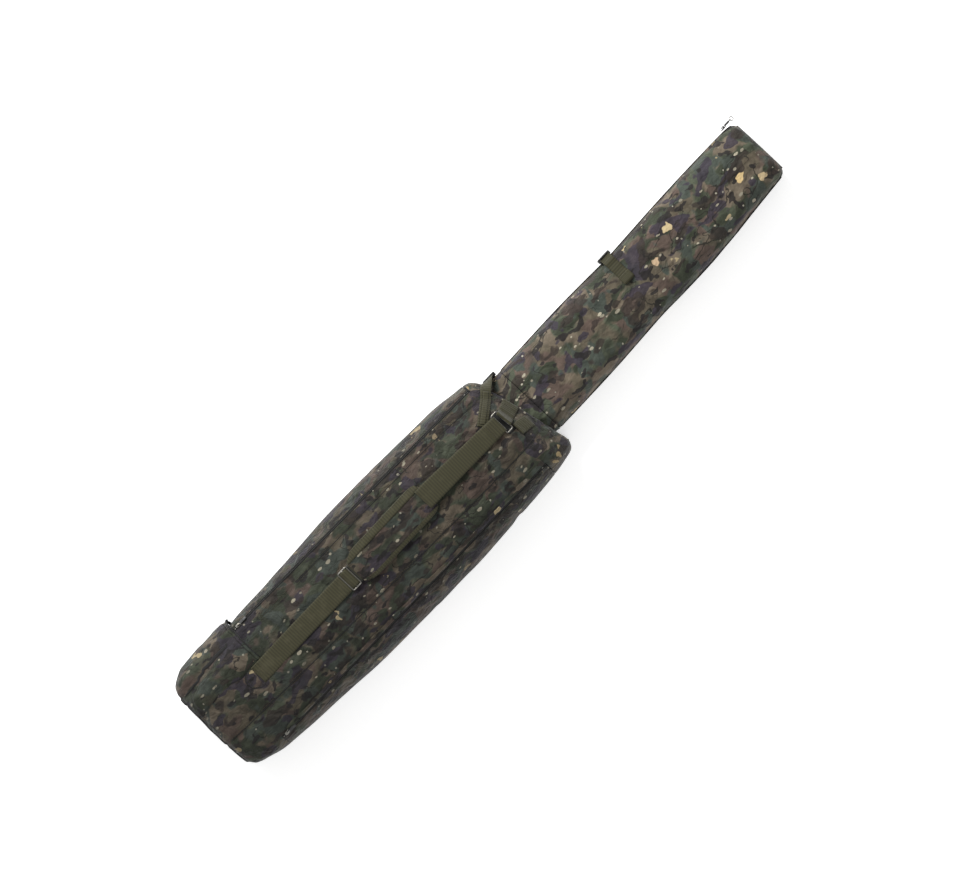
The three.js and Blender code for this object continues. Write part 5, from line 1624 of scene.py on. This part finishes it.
def buckle(prefix, x, y, z, socket_body, plug_body):
    m = Matrix.Translation((x, y, z))
    s = cut(block(-19, 19, -5.5, 5.5, 0, 34, 2.4, 3), block(-15.6, 15.6, -3.5, 3.5, -1, 25, 0.5), block(-25, 25, -3.5, 3.5, 3, 17, 1.2), block(-15.5, 15.5, -7, 7, 28.3, 31.7, 0.8))
    # shallow dish and three grip ribs on each face
    s = cut(s, block(-12, 12, 4.7, 8, 5, 22, 0.6), block(-12, 12, -8, -4.7, 5, 22, 0.6))
    for zz in (8.5, 12.5, 16.5):
        s = fuse(s, block(-9, 9, 4.3, 5.4, zz - 0.7, zz + 0.7, 0.3, 1), block(-9, 9, -5.4, -4.3, zz - 0.7, zz + 0.7, 0.3, 1))
    finish_solid(f"{prefix}_socket_shell", s, m, PLASTIC, socket_body, "plastic", f"{prefix}_buckle_socket")
    p = cut(block(-18.5, 18.5, -5, 5, -17, -0.8, 2.0, 3), block(-15.5, 15.5, -7, 7, -14, -10.5, 0.8), block(-15.5, 15.5, -7, 7, -8, -5, 0.8))
    for k in (-1, 1):
        arm = plate([(k * 10.5, -1.5), (k * 14.5, -1.5), (k * 14.3, 5.5), (k * 15.2, 6.5), (k * 15.3, 13.0), (k * 13.6, 16.5), (k * 12.6, 20.6), (k * 10.9, 20.9), (k * 10.6, 14.0)], -2.4, 2.4, 0.5)
        bmesh.ops.transform(arm, matrix=Matrix.Rotation(math.pi / 2, 4, "X"), verts=arm.verts)
        p = fuse(p, arm)
    p = fuse(p, block(-2, 2, -2.4, 2.4, -1.5, 20, 0.6))
    for zz in (-3.4, -2.2):
        p = fuse(p, block(-16, 16, 4.6, 5.3, zz - 0.35, zz + 0.35, 0.2, 1))
    finish_solid(f"{prefix}_plug_prongs", p, m, PLASTIC, plug_body, "plastic", f"{prefix}_buckle_plug")
    # webbing folded round the two bars
    for nm, zc, body, ht in (("upper", z + 32.4, socket_body, 31), ("lower", z - 15.4, plug_body, -31)):
        sg = 1 if ht > 0 else -1
        lp_ = dense([[x, y + 2.2, zc + sg * 14], [x, y + 3.6, zc + sg * 9], [x, y + 4.6, zc + sg * 3], [x, y + 4.6, zc - sg * 0.6], [x, y + 2.2, zc - sg * 2.6], [x, y - 2.4, zc - sg * 2.6], [x, y - 4.4, zc - sg * 0.4], [x, y - 3.6, zc + sg * 4], [x, y - 1.2, zc + sg * 9]], 1.6)
        o = band(f"{prefix}_loop_{nm}", lp_, [1, 0, 0], 30.4 if sg > 0 else 29.6, 1.4, BLACK_WEB if sg > 0 else OLIVE, cols=8)
        put_on(o, body, "webbing")


buckle("sleeve", SXC, sideY + 8, 44, "sleeve_lid", "sleeve_plug")
buckle("neck", 107.0, nY + 8, 50, "case", "neck_plug")


def zip_slider(name, at, out, along, length, slider_body, pull_body, slider_node, pull_node, ring=None):
    o_ = Vector(out).normalized()
    a_ = Vector(along).normalized()
    c_ = o_.cross(a_)
    m = Matrix(((a_.x, c_.x, o_.x, at[0]), (a_.y, c_.y, o_.y, at[1]), (a_.z, c_.z, o_.z, at[2]), (0, 0, 0, 1)))
    # heart-shaped body: wide at its nose, with side flanges
    body = plate([(-8, -3.0), (-5, -3.9), (1, -4.4), (6, -4.5), (8, -3.4), (8, 3.4), (6, 4.5), (1, 4.4), (-5, 3.9), (-8, 3.0)], 0.2, 2.4, 0.6, 3)
    s = fuse(body, block(-6.5, 6.5, -2.6, 2.6, 2.0, 2.9, 0.4))
    arch = cut(block(-3.2, 4.6, -1.5, 1.5, 2.4, 7.6, 0.9, 3), block(-1.5, 2.1, -3, 3, 3.4, 6.2, 0.6, 2))
    s = fuse(s, arch)
    finish_solid(f"{name}_slider_body", s, m, METAL if ring is None else PLASTIC, slider_body, "metal" if ring is None else "plastic", slider_node)
    L = length
    outline = [(-0.6, -4.0), (0.6, -4.4), (L * 0.55, -3.5), (L - 2.2, -3.1), (L - 0.5, -2.2), (L, 0), (L - 0.5, 2.2), (L - 2.2, 3.1), (L * 0.55, 3.5), (0.6, 4.4), (-0.6, 4.0)]
    t = plate(outline, 4.0, 5.6, 0.45)
    t = cut(t, block(0.8, 6.2, -2.3, 2.3, 3, 7, 0.5))
    for xx in np.arange(9.5, L - 8.5, 2.6):
        t = fuse(t, block(xx - 0.55, xx + 0.55, -2.4, 2.4, 3.85, 5.75, 0.2, 1))
    if ring:
        far = L - 3.2
        hole = bmesh.new()
        bmesh.ops.create_cone(hole, cap_ends=True, segments=16, radius1=1.7, radius2=1.7, depth=6, matrix=Matrix.Translation((far - 1.9, 0, 4.8)))
        t = cut(t, hole)
    finish_solid(f"{name}_pull_tab", t, m, PLASTIC, pull_body, "plastic", pull_node)
    if ring:
        grip = np.array([list(m @ Vector((x, 0, 4.8))) for x in np.linspace(7.5, L - 7.5, 12)])
        g = tube(f"{name}_pull_grip", grip, [2.0, 2.5, 2.7, 2.5, 2.7, 2.5, 2.7, 2.5, 2.7, 2.5, 2.4, 1.9], PLASTIC, n=10, r2=3.4, up=np.array(c_))
        put_on(g, pull_body, "plastic")
        R = ring
        c0_ = m @ Vector((far - 1.9 + R, 0, 4.8))
        a = np.arange(28) * 2 * math.pi / 28
        P = np.array([[c0_.x, c0_.y, c0_.z]]) + np.outer(np.cos(a) * R, list(a_)) + np.outer(np.sin(a) * R, list(o_))
        q = tube("tip_ring_wire", P, 1.05, METAL, n=10, closed=True, up=np.array(c_))
        put_on(q, "tip_ring", "metal", "tip_pull_ring")


zip_slider("tip", (947, 105.3, 52), (0, 1, 0), (1, 0, 0), 31, "tip_slider", "tip_pull", "tip_slider", "tip_pull", ring=5.2)
zip_slider("left_zip", (-744, lineL(-744) - 0.8, ZIP_Z + 1.8), (0, math.sin(0.35), math.cos(0.35)), (1, -0.0255, 0), 27, "left_slider", "left_pull", "left_zip_slider", "left_zip_pull")
zip_slider("right_zip", (-852, lineR(-852) + 0.8, ZIP_Z + 1.8), (0, -math.sin(0.35), math.cos(0.35)), (1, -0.0165, 0), 27, "right_slider", "right_pull", "right_zip_slider", "right_zip_pull")


# ------------------------------------------------------------------ inside: divider, end pads and rod straps
def box_of(node):
    a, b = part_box(node)
    return np.array(a) / MM, np.array(b) / MM


lo, hi = box_of("divider_panel")
dxs = np.linspace(lo[0] + 1, hi[0] - 0.5, 88)
dzs = np.linspace(0, 1, 19)
dtop = np.array([min(hi[2], float(HH(x)) - 8.0) for x in dxs])
Zd = lo[2] + (dtop[:, None] - lo[2]) * dzs[None]
Xd = np.broadcast_to(dxs[:, None], Zd.shape)
cell_w = 62.0
quilt_u = np.abs(np.sin(np.pi * (Xd + Zd * 0.9) / cell_w)) ** 0.5 * np.abs(np.sin(np.pi * (Xd - Zd * 0.9) / cell_w)) ** 0.5
edge_f = np.clip(np.minimum.reduce([Zd - lo[2], dtop[:, None] - Zd, Xd - dxs[0], dxs[-1] - Xd]) / 8, 0, 1)
half_t = 1.3 + 2.5 * edge_f * (0.35 + 0.65 * quilt_u) + 0.3 * fbm(np.stack([Xd / 30, Zd / 30, Zd * 0], -1), 91, 2) * edge_f
A = np.stack([Xd, half_t, Zd], -1)
B = np.stack([Xd, -half_t, Zd], -1)
o = shell("divider_quilt", A, B, grid_faces(*Zd.shape), np.stack([Xd + 1000, Zd], -1), [LINING_QUILT, LINING_QUILT, TAPE], crease=0.3)
fix_normals(o)
put_on(o, "case", "lining", "divider_panel")
o = tube("divider_binding", np.column_stack([dxs, dxs * 0, dtop]), 2.3, TAPE, n=8, r2=2.0)
put_on(o, "case", "webbing")


def end_pad(name, node, x_at, half, seed):
    """Closed-cell foam pad in cloth, buttoned in the middle."""
    lo, hi = box_of(node)
    sec = Section(x_at, half, k=10)
    q = sec.at(np.linspace(0, sec.c[-1], 73)[:-1])
    q = (q - q.min(0)) / (q.max(0) - q.min(0)) * (hi[1:] - lo[1:]) + lo[1:]
    c = (lo[1:] + hi[1:]) / 2
    mid_x = (lo[0] + hi[0]) / 2
    H = (hi[0] - lo[0]) / 2
    loops, fs = [], [1.0, 0.985, 0.94, 0.8, 0.62, 0.45, 0.3, 0.16]
    rise = [0.0, 0.45, 0.72, 0.9, 0.98, 0.86, 0.95, 0.8]
    for sgn in (-1, 1):
        for f, r_ in zip(fs if sgn < 0 else fs[1:], rise if sgn < 0 else rise[1:]):
            w = c + (q - c) * f
            xx = mid_x + sgn * H * (r_ + 0.05 * fbm(np.column_stack([w / 26, w[:, 0] * 0]), seed, 2) * min(1, r_ * 2)).clip(-1, 1)
            loops.append(np.column_stack([xx if np.ndim(xx) else np.full(len(w), xx), w]))
    a = loops[: len(fs)][::-1] + loops[len(fs) :]
    V = np.vstack(a + [[[mid_x - H * 0.7, *c]], [[mid_x + H * 0.7, *c]]])
    n = len(q)
    F = [(i * n + j, i * n + (j + 1) % n, (i + 1) * n + (j + 1) % n, (i + 1) * n + j) for i in range(len(a) - 1) for j in range(n)]
    F += [(j, (j + 1) % n, len(V) - 2) for j in range(n)] + [((len(a) - 1) * n + j, (len(a) - 1) * n + (j + 1) % n, len(V) - 1) for j in range(n)]
    o = mesh_object(name, V, F, V[:, 1:3] + 300)
    fix_normals(o)
    o.data.materials.append(LINING_QUILT)
    s = o.modifiers.new("Subdivision", "SUBSURF")
    s.levels = s.render_levels = 1
    put_on(o, "case", "lining", node)
    o = tube(f"{name}_piping", np.column_stack([np.full(len(q), mid_x), q]), 1.5, TAPE, n=6, closed=True, up=[1, 0, 0])
    put_on(o, "case", "zip")


end_pad("butt_pad_foam", "butt_pad", -957, body_half, 95)
end_pad("tip_pad_foam", "tip_pad", 955, sleeve_half, 96)

for side in ("left", "right"):
    sg = 1 if side == "left" else -1
    for place_ in ("rear", "middle", "front"):
        node = f"rod_strap_{side}_{place_}"
        lo, hi = box_of(node)
        xc = (lo[0] + hi[0]) / 2
        y0 = lo[1] if sg > 0 else -hi[1]
        T_ = hi[1] - lo[1]
        z0, z1 = lo[2], hi[2]
        # the strap stands off the divider in a shallow bow and lies flat where it is sewn
        s = np.linspace(0, 1, 34)
        bow = y0 + 1.0 + (T_ - 2.2) * np.clip(np.sin(np.pi * s), 0, 1) ** 0.5
        pth = np.column_stack([np.full(34, xc), sg * bow, z0 + 1 + (z1 - z0 - 2) * s])
        sx = np.array([1.0, 0, 0])
        o = band(f"{node}_web", pth, sx, 29.4, 1.5, OLIVE_FLAT, cols=8, crown=0.0, wave=0.2)
        put_on(o, "case", "webbing", node)
        # hook-and-loop overlap and its stitched ends
        m0, m1 = 13, 25
        o = band(f"{node}_loop", pth[m0:m1] + [0, sg * 1.25, 0], sx, 27, 0.9, TAPE, cols=6)
        put_on(o, "case", "webbing")
        for k, i in enumerate((1, 3, 30, 32)):
            pts_ = pth[i] + np.array([[x, sg * 0.85, 0] for x in np.linspace(-12.5, 12.5, 10)])
            put_on(stitches(f"{node}_stitch_{k}", pts_, np.tile([0, float(sg), 0], (10, 1)), THREAD), "case", "webbing")


# ------------------------------------------------------------------ floor, light and camera
def floor_material():
    M = Mat("pale_floor", roughness=0.9, specular=0.1)
    n = M.noise(M.co.outputs["Object"], 1.5, 2.0)
    M.b.inputs["Emission Color"].default_value = (1, 1, 1, 1)
    M.b.inputs["Emission Strength"].default_value = 0.5
    return M.done(M.mix(n, (0.90, 0.90, 0.898, 1), (0.93, 0.93, 0.928, 1)))


fl = mesh_object("floor", [(-9000, -9000, -0.6), (9000, -9000, -0.6), (9000, 9000, -0.6), (-9000, 9000, -0.6)], [(0, 1, 2, 3)], smooth=False)
fl.data.materials.append(floor_material())
world = bpy.data.worlds.new("studio")
bpy.context.scene.world = world
world.use_nodes = True
world.node_tree.nodes["Background"].inputs["Color"].default_value = (1.0, 1.0, 1.0, 1)
world.node_tree.nodes["Background"].inputs["Strength"].default_value = 0.5


def area(name, loc, target, size, power):
    d = bpy.data.lights.new(name, "AREA")
    d.shape = "RECTANGLE"
    d.size, d.size_y = size
    d.energy = power
    o = bpy.data.objects.new(name, d)
    o.location = loc
    o.rotation_euler = (Vector(target) - Vector(loc)).to_track_quat("-Z", "Y").to_euler()
    bpy.context.scene.collection.objects.link(o)
    return o


area("key", (0.25, 3.0, 2.3), (0, 0, 0.1), (2.4, 1.4), 190)
area("fill", (-0.6, -2.4, 3.0), (0, 0, 0.1), (2.5, 1.5), 26)
right, up = Vector((0.682, -0.731, 0)).normalized(), Vector((0.731, 0.682, 0)).normalized()
cam = bpy.data.cameras.new("camera")
cam.lens = 135
cam.sensor_width = 36
co = bpy.data.objects.new("camera", cam)
bpy.context.scene.collection.objects.link(co)
FIELD = 2.346  # metres across the picture at the case's widest height
dist = FIELD * cam.lens / 36
m = Vector((0, 0, 1))
rot = np.array([[right.x, up.x, 0], [right.y, up.y, 0], [0, 0, 1]])
from mathutils import Matrix

co.matrix_world = Matrix.Translation((-0.0190, 0.0226, 0.09 + dist)) @ Matrix([[right.x, up.x, 0, 0], [right.y, up.y, 0, 0], [right.z, up.z, 1, 0], [0, 0, 0, 1]])
bpy.context.scene.camera = co
bpy.context.scene.view_settings.view_transform = "Standard"
